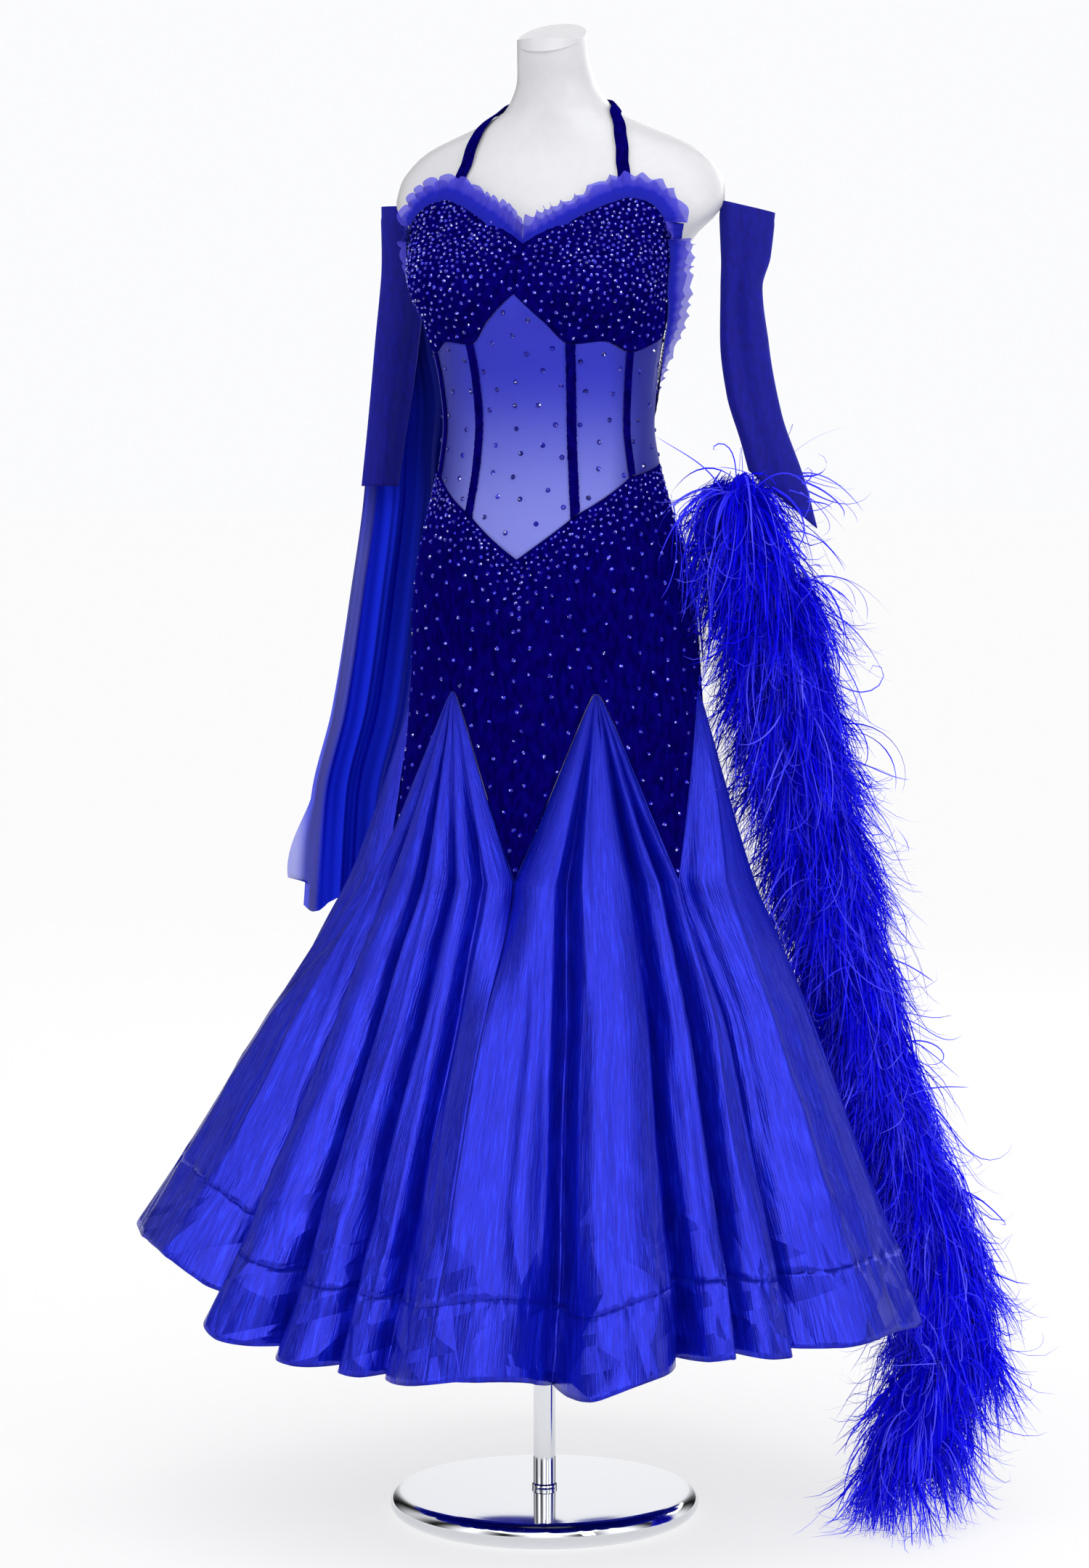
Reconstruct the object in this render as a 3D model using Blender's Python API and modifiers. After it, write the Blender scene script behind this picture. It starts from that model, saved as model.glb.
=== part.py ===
"""A ballroom gown on its dress form and stand.

Metres, +Z up. The origin is the middle of the stand's underside. The gown's front faces -Y and the
wearer's left is +X. "turn" is an angle in degrees about +Z from the centre front towards the wearer's left.
"""

import math
from collections import namedtuple

import bmesh
import bpy
import numpy as np
from mathutils import Vector

# Cloth walls, and the gaps that keep the sewn pieces apart.
SEAM_GAP = 0.0003
VELVET_WALL = 0.0016
MESH_WALL = 0.0010
SATIN_WALL = 0.0014
STRAP_WALL = 0.0016
FORM_CLEARANCE = 0.0030
FORM_SIDES = 24

# Stand.
BASE_RADIUS = 0.167
BASE_HEIGHT = 0.028
BASE_FOOT_RADIUS = 0.154
BASE_RIM_BULGE = 0.014
SOCKET_RADIUS = 0.0134
SOCKET_HEIGHT = 0.005
POLE_RADIUS = 0.0119
FORM_FOOT_Z = 0.7625
NECK_CUT_Z = 1.5845
NECK_CUT_SLOPE = 0.42

# Half girths of the gown from neck to hem. Above the waist seam of the skirt the form fills them.
Section = namedtuple("Section", "z half_width front back")
SECTIONS = (
    Section(1.6025, 0.0390, -0.020, 0.066),
    Section(1.5625, 0.0410, -0.014, 0.074),
    Section(1.5375, 0.0455, -0.004, 0.090),
    Section(1.5195, 0.0545, 0.000, 0.102),
    Section(1.5075, 0.0640, 0.001, 0.110),
    Section(1.4945, 0.0900, 0.001, 0.118),
    Section(1.4805, 0.1240, -0.001, 0.124),
    Section(1.4675, 0.1520, -0.004, 0.128),
    Section(1.4525, 0.1700, -0.010, 0.132),
    Section(1.4325, 0.1825, -0.022, 0.135),
    Section(1.4125, 0.1850, -0.036, 0.136),
    Section(1.3975, 0.1780, -0.047, 0.135),
    Section(1.3775, 0.1590, -0.060, 0.130),
    Section(1.3575, 0.1480, -0.075, 0.122),
    Section(1.3335, 0.1400, -0.092, 0.112),
    Section(1.3025, 0.1345, -0.102, 0.106),
    Section(1.2625, 0.1245, -0.092, 0.104),
    Section(1.2225, 0.1175, -0.079, 0.101),
    Section(1.1765, 0.1140, -0.072, 0.099),
    Section(1.1325, 0.1195, -0.075, 0.106),
    Section(1.0825, 0.1315, -0.086, 0.126),
    Section(1.0355, 0.1435, -0.094, 0.145),
    Section(0.9825, 0.1525, -0.093, 0.159),
    Section(0.9185, 0.1565, -0.085, 0.162),
    Section(0.8625, 0.1600, -0.085, 0.164),
    Section(0.8125, 0.1650, -0.089, 0.168),
    Section(0.7005, 0.1810, -0.101, 0.184),
    Section(0.6245, 0.2040, -0.122, 0.206),
    Section(0.5625, 0.2210, -0.141, 0.225),
    Section(0.4965, 0.2380, -0.171, 0.245),
    Section(0.4125, 0.2600, -0.205, 0.273),
    Section(0.3175, 0.2870, -0.244, 0.304),
    Section(0.2305, 0.3110, -0.280, 0.331),
    Section(0.1425, 0.3350, -0.314, 0.358),
)
# Sections that close a stretch where the back curves most, which the form follows more finely.
HOLLOW_BACK = (1.1325, 1.0825, 1.0355, 0.9825, 0.9185)
# The form's own sections below the hips, where it closes under the skirt.
FORM_FOOT = (
    Section(0.8625, 0.1500, -0.070, 0.150),
    Section(0.8125, 0.1280, -0.045, 0.118),
    Section(0.7775, 0.0850, -0.010, 0.070),
    Section(FORM_FOOT_Z, 0.0500, 0.000, 0.040),
)

# Cut lines of the gown: height against turn, the same on both sides of the centre front.
CutPoint = namedtuple("CutPoint", "turn z")
GARMENT_EDGE = (
    CutPoint(0, 1.3655),
    CutPoint(8, 1.3825),
    CutPoint(17, 1.4025),
    CutPoint(25, 1.4155),
    CutPoint(32, 1.4215),
    CutPoint(39, 1.4185),
    CutPoint(47, 1.4065),
    CutPoint(57, 1.3865),
    CutPoint(66, 1.3645),
    CutPoint(75, 1.3455),
    CutPoint(85, 1.3235),
    CutPoint(95, 1.2955),
    CutPoint(103, 1.2625),
    CutPoint(111, 1.2245),
    CutPoint(120, 1.1945),
    CutPoint(132, 1.1725),
    CutPoint(150, 1.1585),
    CutPoint(180, 1.1525),
)
CUP_FOOT = (
    CutPoint(0, 1.3115),
    CutPoint(13, 1.2835),
    CutPoint(26, 1.2595),
    CutPoint(43, 1.2625),
    CutPoint(60, 1.2515),
    CutPoint(78, 1.2595),
    CutPoint(97, 1.2695),
)
CUP_SIDE_TURN = 97
FRONT_BONE_TURN = 26
SIDE_BONE_TURN = 60
# The V line between midriff and hips runs straight from one of these points to the next.
YOKE_TOP = (
    CutPoint(0, 1.0355),
    CutPoint(FRONT_BONE_TURN, 1.0815),
    CutPoint(SIDE_BONE_TURN, 1.1225),
    CutPoint(CUP_SIDE_TURN, 1.1345),
    CutPoint(180, 1.1345),
)
CUP_CORNER_TURN = 98.4
# Stretches of the bodice: from and to a turn, and its number of columns.
BODICE_STRETCHES = (
    (0, FRONT_BONE_TURN, 3),
    (FRONT_BONE_TURN, SIDE_BONE_TURN, 4),
    (SIDE_BONE_TURN, CUP_SIDE_TURN, 4),
    (CUP_SIDE_TURN, CUP_CORNER_TURN, 1),
    (CUP_CORNER_TURN, 180, 8),
)
MIDRIFF_ROWS = 6
BONE_WIDTH = 0.0105
BONE_WIDTH_Z = 1.1765
BONE_END_GAP = 0.0006

# The moulded cups.
BUST_TURN = 38
BUST_Z = 1.3365
BUST_SPREAD_TURN = 50
BUST_SPREAD_Z = 0.083
BUST_DEPTH = 0.028

# Skirt: six satin godets let into the velvet, then a stiffened band round the hem.
PEAK_Z = 0.8945
VALLEY_Z = 0.6975
HEM_Z = 0.222
BAND_HEIGHT = 0.072
HIP_LEVEL_Z = 0.9075
ZIGZAG_GAP = 0.0004
BAND_GAP = 0.0006
GODET_HALF_TURN = 30
TIP_HALF_TURN = 1.0
FLARE_POWER = 0.88
FOLD_DEPTH = 0.104
FOLD_POWER = 0.8
LOBE_SHARE = 0.30
# The hem dips and lifts from roll to roll, and is carried up at the right side.
HEM_LINE = (
    (-180, 0.222),
    (-133, 0.223),
    (-120, 0.236),
    (-105, 0.275),
    (-90, 0.313),
    (-75, 0.328),
    (-62, 0.324),
    (-56, 0.318),
    (-50, 0.304),
    (-45, 0.278),
    (-42, 0.262),
    (-38, 0.246),
    (-30, 0.229),
    (-22, 0.220),
    (-12, 0.216),
    (-3, 0.219),
    (3, 0.228),
    (12, 0.229),
    (16, 0.219),
    (20, 0.204),
    (24, 0.213),
    (29, 0.227),
    (34, 0.233),
    (38, 0.232),
    (44, 0.240),
    (52, 0.232),
    (60, 0.231),
    (68, 0.232),
    (76, 0.239),
    (84, 0.236),
    (100, 0.229),
    (120, 0.222),
)
HEM_SOFTENING = (-3, -1.5, 0, 1.5, 3)
SIDE_FLARE = 0.102
SIDE_FLARE_TURN = -69
SIDE_FLARE_SPREAD = 56
UPPER_ROWS = (0.0, 0.25, 0.5, 0.75, 1.0)
LOWER_ROWS = 4
BAND_ROWS = 1

Godet = namedtuple("Godet", "name turn")
GODETS = (
    Godet("front_left", 30),
    Godet("side_left", 90),
    Godet("back_left", 150),
    Godet("back_right", -150),
    Godet("side_right", -90),
    Godet("front_right", -30),
)

# The satin hangs in rolls that run on from godet to godet, with a sharp trough between each two.
Roll = namedtuple("Roll", "turn half_turn height")
ROLLS = (
    Roll(3.5, 14.5, 0.74),
    Roll(28.5, 10.5, 0.76),
    Roll(44, 5, 0.50),
    Roll(54.5, 5.5, 0.46),
    Roll(80, 20, 0.76),
    Roll(110, 10, 0.30),
    Roll(133, 13, 0.60),
    Roll(156, 10, 0.54),
    Roll(180, 14, 0.66),
    Roll(-153, 13, 0.64),
    Roll(-130, 10, 0.54),
    Roll(-111.5, 8.5, 0.50),
    Roll(-90, 13, 0.70),
    Roll(-60, 17, 0.76),
    Roll(-36.5, 6.5, 0.58),
    Roll(-24.5, 5.5, 0.46),
    Roll(-14.5, 5, 0.40),
)
ROLL_POWER = 2.6
ROLL_RELEASE = 0.8
ROLL_COLUMNS = (-1.0, -0.85, -0.5, 0.0, 0.5, 0.85, 1.0)
LEAST_COLUMN = 0.045
BESIDE_SEAM = 0.94

# Ruffle round the bodice.
RUFFLE_HEIGHT = 0.0165
RUFFLE_PITCH = 0.0165
RUFFLE_WAVE = 0.0034
RUFFLE_LEAN = 0.30
RUFFLE_WALL = 0.0010
RUFFLE_STEPS = 4
RUFFLE_LIFT = 0.0024
RUFFLE_DIP_STEPS = 14

# Halter straps, from the cup tops over the shoulders to the back of the neck.
STRAP_WIDTH = 0.013
STRAP_ROUTE = (
    CutPoint(30, 1.4275),
    CutPoint(30, 1.448),
    CutPoint(33, 1.467),
    CutPoint(39, 1.480),
    CutPoint(49, 1.4905),
    CutPoint(64, 1.501),
    CutPoint(84, 1.509),
    CutPoint(115, 1.5145),
    CutPoint(148, 1.517),
    CutPoint(179, 1.5175),
)
STRAP_STEPS = 16
STRAP_OUT_FOOT = -0.0006
STRAP_OUT_NECK = 0.0020
STRAP_NECK_Z = 1.4775

# Detached sleeves: centre line, half widths across and through, and the twist of the flat tube.
SleeveRing = namedtuple("SleeveRing", "x y z half_wide half_deep")
LEFT_SLEEVE = (
    SleeveRing(0.2030, 0.0688, 1.4055, 0.0285, 0.0142),
    SleeveRing(0.2015, 0.0690, 1.3525, 0.0245, 0.0135),
    SleeveRing(0.1975, 0.0670, 1.3205, 0.0205, 0.0140),
    SleeveRing(0.2010, 0.0670, 1.2625, 0.0240, 0.0145),
    SleeveRing(0.2110, 0.0700, 1.2075, 0.0275, 0.0145),
    SleeveRing(0.2310, 0.0750, 1.1575, 0.0330, 0.0130),
    SleeveRing(0.2410, 0.0783, 1.1265, 0.0350, 0.0120),
)
RIGHT_SLEEVE = (
    SleeveRing(-0.1853, 0.0885, 1.4105, 0.0290, 0.0200),
    SleeveRing(-0.1925, 0.0950, 1.3325, 0.0245, 0.0135),
    SleeveRing(-0.1985, 0.0930, 1.2725, 0.0240, 0.0140),
    SleeveRing(-0.2045, 0.0900, 1.2125, 0.0228, 0.0140),
    SleeveRing(-0.2110, 0.0870, 1.1575, 0.0210, 0.0130),
    SleeveRing(-0.2170, 0.0850, 1.1075, 0.0200, 0.0120),
)
LEFT_SLEEVE_TWIST = 19
RIGHT_SLEEVE_TWIST = 32
SLEEVE_SIDES = 12
SLEEVE_WALL = 0.0012
SLEEVE_TROUGH = 0.0062
TROUGH_SPREAD = 0.7
LEFT_CUFF_SLANT = 0.86
RIGHT_CUFF_SLANT = 0.0

# Chiffon float behind the right sleeve: where its gathered width hangs, and how deep its folds are.
FloatRow = namedtuple("FloatRow", "z centre_x centre_y half_wide fold_deep")
FLOAT_ROWS = (
    FloatRow(1.3920, -0.1945, 0.1085, 0.0120, 0.0006),
    FloatRow(1.3325, -0.2009, 0.1140, 0.0200, 0.0020),
    FloatRow(1.2625, -0.2014, 0.1175, 0.0280, 0.0040),
    FloatRow(1.2000, -0.1976, 0.1190, 0.0360, 0.0060),
    FloatRow(1.1500, -0.2019, 0.1210, 0.0400, 0.0080),
    FloatRow(1.0925, -0.2056, 0.1240, 0.0440, 0.0100),
    FloatRow(0.9825, -0.2210, 0.1240, 0.0460, 0.0120),
    FloatRow(0.8625, -0.2395, 0.1200, 0.0470, 0.0120),
    FloatRow(0.7625, -0.2650, 0.1180, 0.0460, 0.0120),
    FloatRow(0.6425, -0.2740, 0.1150, 0.0450, 0.0110),
)
FLOAT_WAVES = 2.5
FLOAT_TWIST = 28
FLOAT_COLUMNS = 15
FLOAT_WALL = 0.0010

# Feather boa from the left cuff to just above the floor.
BoaRow = namedtuple("BoaRow", "z radius turn thick")
BOA_ROWS = (
    BoaRow(1.1258, 0.2131, 108.0, 0.006),
    BoaRow(1.104, 0.208, 108.0, 0.018),
    BoaRow(1.070, 0.213, 108.5, 0.030),
    BoaRow(1.000, 0.238, 110.5, 0.037),
    BoaRow(0.900, 0.259, 114.6, 0.037),
    BoaRow(0.800, 0.282, 117.2, 0.036),
    BoaRow(0.700, 0.309, 118.5, 0.036),
    BoaRow(0.600, 0.334, 118.7, 0.036),
    BoaRow(0.500, 0.356, 117.1, 0.036),
    BoaRow(0.400, 0.386, 113.0, 0.036),
    BoaRow(0.300, 0.421, 109.6, 0.038),
    BoaRow(0.205, 0.433, 105.0, 0.041),
    BoaRow(0.120, 0.406, 99.0, 0.042),
    BoaRow(0.054, 0.392, 95.0, 0.026),
)
BOA_RINGS = 42
BOA_SIDES = 8
LOCK_INSET = 0.0070
LOCK_REACH = 0.066
LOCK_DROOP = 0.052
LOCK_TIP_SHARE = 0.16
LOCK_FLOOR_Z = 0.012
FEATHER_LEAST_FACING = 0.05
CUFF_CLEAR_Z = 1.0745

BLUE_VELVET = ("velvet, royal blue", (0.008, 0.004, 0.145, 1.0), 0.85, 0.0)
BLUE_MESH = ("power mesh, blue", (0.075, 0.075, 0.62, 1.0), 0.75, 0.0)
BLUE_SATIN = ("satin, royal blue", (0.020, 0.022, 0.62, 1.0), 0.30, 0.0)
BLUE_JERSEY = ("stretch jersey, blue", (0.012, 0.008, 0.32, 1.0), 0.65, 0.0)
BLUE_TULLE = ("tulle, blue", (0.045, 0.055, 0.60, 1.0), 0.70, 0.0)
BLUE_CHIFFON = ("chiffon, blue", (0.010, 0.020, 0.42, 1.0), 0.70, 0.0)
BLUE_FEATHER = ("ostrich feather, blue", (0.006, 0.003, 0.50, 1.0), 0.60, 0.0)
WHITE_SHELL = ("moulded white shell", (0.86, 0.86, 0.88, 1.0), 0.35, 0.0)
CHROME = ("chromed steel", (0.80, 0.80, 0.82, 1.0), 0.08, 1.0)


def clear_scene():
    for old in list(bpy.data.objects):
        bpy.data.objects.remove(old)


def finish_of(finish):
    """The material of a named finish, made once."""
    name, colour, roughness, metallic = finish
    made = bpy.data.materials.get(name)
    if made is None:
        made = bpy.data.materials.new(name)
        made.use_nodes = True
        shader = made.node_tree.nodes["Principled BSDF"]
        shader.inputs["Base Color"].default_value = colour
        shader.inputs["Roughness"].default_value = roughness
        shader.inputs["Metallic"].default_value = metallic
    return made


def add_object(name, bm, finish, collection):
    mesh = bpy.data.meshes.new(name)
    bm.to_mesh(mesh)
    bm.free()
    mesh.shade_smooth()
    mesh.set_sharp_from_angle(angle=math.radians(40))
    mesh.materials.append(finish_of(finish))
    made = bpy.data.objects.new(name, mesh)
    collection.objects.link(made)
    return made


def hermite(low, high, slope_low, slope_high, share):
    """A cubic from low to high whose slopes are given per unit of share."""
    s2, s3 = share * share, share**3
    return (
        low * (2 * s3 - 3 * s2 + 1)
        + slope_low * (s3 - 2 * s2 + share)
        + high * (3 * s2 - 2 * s3)
        + slope_high * (s3 - s2)
    )


def smooth(rows, key, value, at):
    """The value column of a table at a place on its key column, on a smooth curve through the rows."""
    keys = [getattr(row, key) for row in rows]
    values = [getattr(row, value) for row in rows]
    if keys[0] > keys[-1]:
        keys.reverse()
        values.reverse()
    at = min(max(at, keys[0]), keys[-1])
    i = next(n for n in range(len(keys) - 1) if at <= keys[n + 1])
    step = keys[i + 1] - keys[i]
    rise = (values[i + 1] - values[i]) / step
    before = (values[i] - values[i - 1]) / (keys[i] - keys[i - 1]) if i else rise
    last = i + 2 >= len(keys)
    after = rise if last else (values[i + 2] - values[i + 1]) / (keys[i + 2] - keys[i + 1])
    slope_low = limited_slope(before, rise)
    slope_high = limited_slope(rise, after)
    return hermite(values[i], values[i + 1], slope_low * step, slope_high * step, (at - keys[i]) / step)


def limited_slope(before, after):
    """The slope at a row that keeps the curve from overshooting it."""
    return 0.0 if before * after <= 0 else 2 * before * after / (before + after)


def cut_height(line, turn):
    """The height of a cut line at a turn on either side. A line ends level past its last point."""
    return smooth(line, "turn", "z", abs(turn))


def yoke_height(turn):
    """The height of the V line, whose stretches are straight so that both of its panels follow it."""
    turn = abs(turn)
    for first, last in zip(YOKE_TOP, YOKE_TOP[1:]):
        if turn <= last.turn:
            return between(first.z, last.z, (turn - first.turn) / (last.turn - first.turn))
    return YOKE_TOP[-1].z


def ellipse_point(half_width, front, back, turn, z, out):
    """A point at a turn round an egg-shaped section, moved out by a distance."""
    angle = math.radians(turn)
    middle, depth = (front + back) / 2, (back - front) / 2
    return Vector(((half_width + out) * math.sin(angle), middle - (depth + out) * math.cos(angle), z))


def body_point(turn, z, out=0.0):
    """The gown's inner surface, without cups and folds."""
    return ellipse_point(
        smooth(SECTIONS, "z", "half_width", z),
        smooth(SECTIONS, "z", "front", z),
        smooth(SECTIONS, "z", "back", z),
        turn,
        z,
        out,
    )


def cup_depth(turn, z):
    """How far a moulded cup stands out from the body."""
    away = math.hypot((abs(turn) - BUST_TURN) / BUST_SPREAD_TURN, (z - BUST_Z) / BUST_SPREAD_Z)
    return BUST_DEPTH * math.cos(math.pi / 2 * min(1.0, away)) ** 2


def bodice_point(turn, z, out=0.0):
    return body_point(turn, z, out + cup_depth(turn, z))


def turn_of(distance, z):
    """The turn, in degrees, that a small distance round the body takes at a height."""
    return math.degrees(distance / smooth(SECTIONS, "z", "half_width", z))


def grid(columns, rows):
    """An open grid, and each of its points' shares across and down."""
    bm = bmesh.new()
    bmesh.ops.create_grid(bm, x_segments=columns, y_segments=rows, size=0.5)
    shares = {vert: (vert.co.x + 0.5, 0.5 - vert.co.y) for vert in bm.verts}
    return bm, shares


def walled_panel(name, columns, rows, place, inner, wall, finish, collection):
    """A panel whose inner and outer points are place(across, down, out), so that its edges are square."""
    bm, shares = grid(columns, rows)
    for vert, (across, down) in shares.items():
        vert.co = place(across, down, inner)
    under = {tuple(round(x, 9) for x in vert.co): share for vert, share in shares.items()}
    copied = bmesh.ops.extrude_face_region(bm, geom=list(bm.faces), use_keep_orig=True)
    for item in copied["geom"]:
        if isinstance(item, bmesh.types.BMVert):
            across, down = under[tuple(round(x, 9) for x in item.co)]
            item.co = place(across, down, inner + wall)
    bmesh.ops.recalc_face_normals(bm, faces=list(bm.faces))
    return add_object(name, bm, finish, collection)


def thickened(made, wall, offset):
    """A wall on an open surface: offset -1 grows it inwards, 1 outwards and 0 both ways."""
    solidify = made.modifiers.new("wall", "SOLIDIFY")
    solidify.thickness = wall
    solidify.offset = offset
    solidify.use_rim = True
    return made


def share_of_table(values, share):
    """The entry of a list of places that a grid's share stands for."""
    return values[round(share * (len(values) - 1))]


def between(low, high, share):
    return low + (high - low) * share


# Stand and dress form.


def make_base(collection):
    """A flat chromed disc with a rounded rim, turned from its profile."""
    bm = bmesh.new()
    rim_steps = 6
    profile = [(0.0, BASE_HEIGHT), (BASE_FOOT_RADIUS - 0.006, BASE_HEIGHT - 0.0012)]
    for step in range(1, rim_steps):
        angle = math.pi * step / rim_steps
        profile.append(
            (
                BASE_RADIUS - BASE_RIM_BULGE + BASE_RIM_BULGE * math.sin(angle),
                BASE_HEIGHT / 2 + (BASE_HEIGHT / 2 - 0.0012) * math.cos(angle),
            )
        )
    profile += [(BASE_FOOT_RADIUS, 0.0), (0.0, 0.0)]
    points = [bm.verts.new((x, 0.0, z)) for x, z in profile]
    for first, second in zip(points, points[1:]):
        bm.edges.new((first, second))
    made = add_object("stand_base", bm, CHROME, collection)
    screw = made.modifiers.new("turned", "SCREW")
    screw.steps = screw.render_steps = 32
    screw.use_merge_vertices = True
    screw.merge_threshold = 0.00001


def make_cylinder(name, radius, foot, top, collection):
    bm = bmesh.new()
    bmesh.ops.create_cone(
        bm, cap_ends=True, segments=20, radius1=radius, radius2=radius, depth=top - foot
    )
    bmesh.ops.translate(bm, verts=bm.verts, vec=(0.0, 0.0, (top + foot) / 2))
    add_object(name, bm, CHROME, collection)


def form_point(turn, z):
    """The dress form's surface: just inside the gown's, and closed below the hips."""
    if z >= FORM_FOOT[0].z:
        return body_point(turn, z, -FORM_CLEARANCE)
    row = [smooth(FORM_FOOT, "z", column, z) for column in ("half_width", "front", "back")]
    return ellipse_point(*row, turn, z, 0.0)


def make_dress_form(collection):
    """A limbless form, lofted through its sections, with a slanting cut across the neck."""
    heights = [row.z for row in SECTIONS if FORM_FOOT[0].z < row.z < NECK_CUT_Z]
    pairs = zip(SECTIONS, SECTIONS[1:])
    heights += [between(above.z, below.z, 0.5) for above, below in pairs if below.z in HOLLOW_BACK]
    heights = [NECK_CUT_Z] + sorted(heights, reverse=True) + [row.z for row in FORM_FOOT]
    bm, shares = grid(FORM_SIDES, len(heights) - 1)
    for vert, (across, down) in shares.items():
        z = share_of_table(heights, down)
        vert.co = form_point(180 - 360 * (1 - across), z)
        if z == NECK_CUT_Z:
            middle = (smooth(SECTIONS, "z", "front", z) + smooth(SECTIONS, "z", "back", z)) / 2
            vert.co.z += NECK_CUT_SLOPE * (vert.co.y - middle)
    bmesh.ops.remove_doubles(bm, verts=list(bm.verts), dist=0.00001)
    bmesh.ops.holes_fill(bm, edges=list(bm.edges), sides=0)
    bmesh.ops.recalc_face_normals(bm, faces=list(bm.faces))
    add_object("dress_form", bm, WHITE_SHELL, collection)


# Bodice.


def cup_foot_or_edge(turn):
    """The top of the sheer midriff: under the cup, or along the open back."""
    return cut_height(CUP_FOOT if abs(turn) <= CUP_SIDE_TURN else GARMENT_EDGE, turn)


def body_panel(
    name, turns, rows, top, foot, inner, wall, finish, collection, surface=bodice_point, bend=None
):
    """A cut piece between two cut lines, with a column at each turn and a seam gap all round.

    bend is a share of the rows and the height that all the columns reach there.
    """
    middle = (turns[0] + turns[-1]) / 2

    def place(across, down, out):
        turn = share_of_table(turns, across)
        high, low = top(turn) - SEAM_GAP / 2, foot(turn) + SEAM_GAP / 2
        if bend is None:
            z = between(high, low, down)
        elif down < bend[0]:
            z = between(high, bend[1], down / bend[0])
        else:
            z = between(bend[1], low, (down - bend[0]) / (1 - bend[0]))
        if turn in (turns[0], turns[-1]):
            turn += math.copysign(turn_of(SEAM_GAP / 2, z), middle - turn)
        return surface(turn, z, out)

    return walled_panel(name, len(turns) - 1, rows, place, inner, wall, finish, collection)


def spaced_turns(low, high, side):
    """The bodice's columns from low to high on one side of the body, always rising."""
    turns = set()
    for first, last, steps in BODICE_STRETCHES:
        turns |= {round(between(first, last, n / steps), 6) for n in range(steps + 1)}
    return sorted(side * turn for turn in turns if low <= turn <= high)


def make_bodice(collection):
    for side, name in ((1, "left"), (-1, "right")):
        body_panel(
            f"cup_{name}",
            spaced_turns(0, CUP_SIDE_TURN, side),
            8,
            lambda turn: cut_height(GARMENT_EDGE, turn),
            lambda turn: cut_height(CUP_FOOT, turn),
            0.0,
            VELVET_WALL,
            BLUE_VELVET,
            collection,
        )
        for part, low, high in (
            ("front", FRONT_BONE_TURN, SIDE_BONE_TURN),
            ("back", SIDE_BONE_TURN, 180),
        ):
            body_panel(
                f"midriff_{part}_{name}",
                spaced_turns(low, high, side),
                MIDRIFF_ROWS,
                cup_foot_or_edge,
                yoke_height,
                0.0,
                MESH_WALL,
                BLUE_MESH,
                collection,
            )
        for part, turn in (("front", FRONT_BONE_TURN), ("side", SIDE_BONE_TURN)):
            make_bone(f"bone_{part}_{name}", side * turn, collection)
    body_panel(
        "midriff_centre",
        sorted({*spaced_turns(0, FRONT_BONE_TURN, -1), *spaced_turns(0, FRONT_BONE_TURN, 1)}),
        MIDRIFF_ROWS,
        cup_foot_or_edge,
        yoke_height,
        0.0,
        MESH_WALL,
        BLUE_MESH,
        collection,
    )


def make_bone(name, turn, collection):
    """A velvet boning channel laid over a midriff seam."""

    def place(across, down, out):
        edge = turn + turn_of(BONE_WIDTH, BONE_WIDTH_Z) * (across - 0.5)
        z = between(cut_height(CUP_FOOT, edge) - BONE_END_GAP, yoke_height(edge) + BONE_END_GAP, down)
        return bodice_point(turn + turn_of(BONE_WIDTH, z) * (across - 0.5), z, out)

    inner = MESH_WALL + 2 * SEAM_GAP
    walled_panel(name, 2, MIDRIFF_ROWS, place, inner, VELVET_WALL, BLUE_VELVET, collection)


# Skirt.


def godet_half_turn(drop):
    """Half the turn that a godet fills, drop being 0 at its tip and 1 at the velvet points."""
    return between(TIP_HALF_TURN, GODET_HALF_TURN, min(1.0, drop) ** FLARE_POWER)


def drop_height(drop):
    return between(PEAK_Z, VALLEY_Z, drop)


def velvet_turns(low, high):
    """Columns of a velvet gore, which share their heights with the godets' rows along each seam."""
    turns = {float(low), float(high)}
    turns |= {float(side * point.turn) for point in YOKE_TOP for side in (1, -1)}
    for godet in GODETS:
        for drop in UPPER_ROWS[:-1]:
            reach = godet_half_turn(drop) + turn_of(ZIGZAG_GAP, PEAK_Z)
            turns |= {godet.turn - reach, godet.turn + reach}
        turns |= {godet.turn - float(GODET_HALF_TURN), godet.turn + float(GODET_HALF_TURN)}
    return sorted(turn for turn in turns if low <= turn <= high)


def velvet_foot(turn):
    """The zigzag lower edge of the velvet, just clear of the godets."""
    away = min(abs(turn - godet.turn) for godet in GODETS) - turn_of(ZIGZAG_GAP, PEAK_Z)
    share = (away - TIP_HALF_TURN) / (GODET_HALF_TURN - TIP_HALF_TURN)
    return drop_height(max(0.0, share) ** (1 / FLARE_POWER)) + ZIGZAG_GAP


def make_hips(collection):
    for name, low, high in (
        ("hip_front", -SIDE_BONE_TURN, SIDE_BONE_TURN),
        ("hip_back_left", SIDE_BONE_TURN, 180),
        ("hip_back_right", -180, -SIDE_BONE_TURN),
    ):
        body_panel(
            name,
            velvet_turns(low, high),
            6,
            yoke_height,
            velvet_foot,
            -0.0001,
            VELVET_WALL,
            BLUE_VELVET,
            collection,
            surface=body_point,
            bend=(4 / 6, HIP_LEVEL_Z),
        )


def roll_away(roll, turn):
    return ((turn - roll.turn + 180) % 360 - 180) / roll.half_turn


def roll_height(turn):
    """The share of the full fold depth at a turn, where each roll falls to a trough at its edges."""
    total = 0.0
    for roll in ROLLS:
        total += (roll.height * max(0.0, 1 - abs(roll_away(roll, turn)) ** ROLL_POWER)) ** 4
    return LOBE_SHARE + total**0.25


def hem_height(turn):
    """The height of the hem, softened between the places of its line."""
    turns, heights = zip(*HEM_LINE)
    found = [np.interp(turn + away, turns, heights, period=360) for away in HEM_SOFTENING]
    return sum(found) / len(found)


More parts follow.
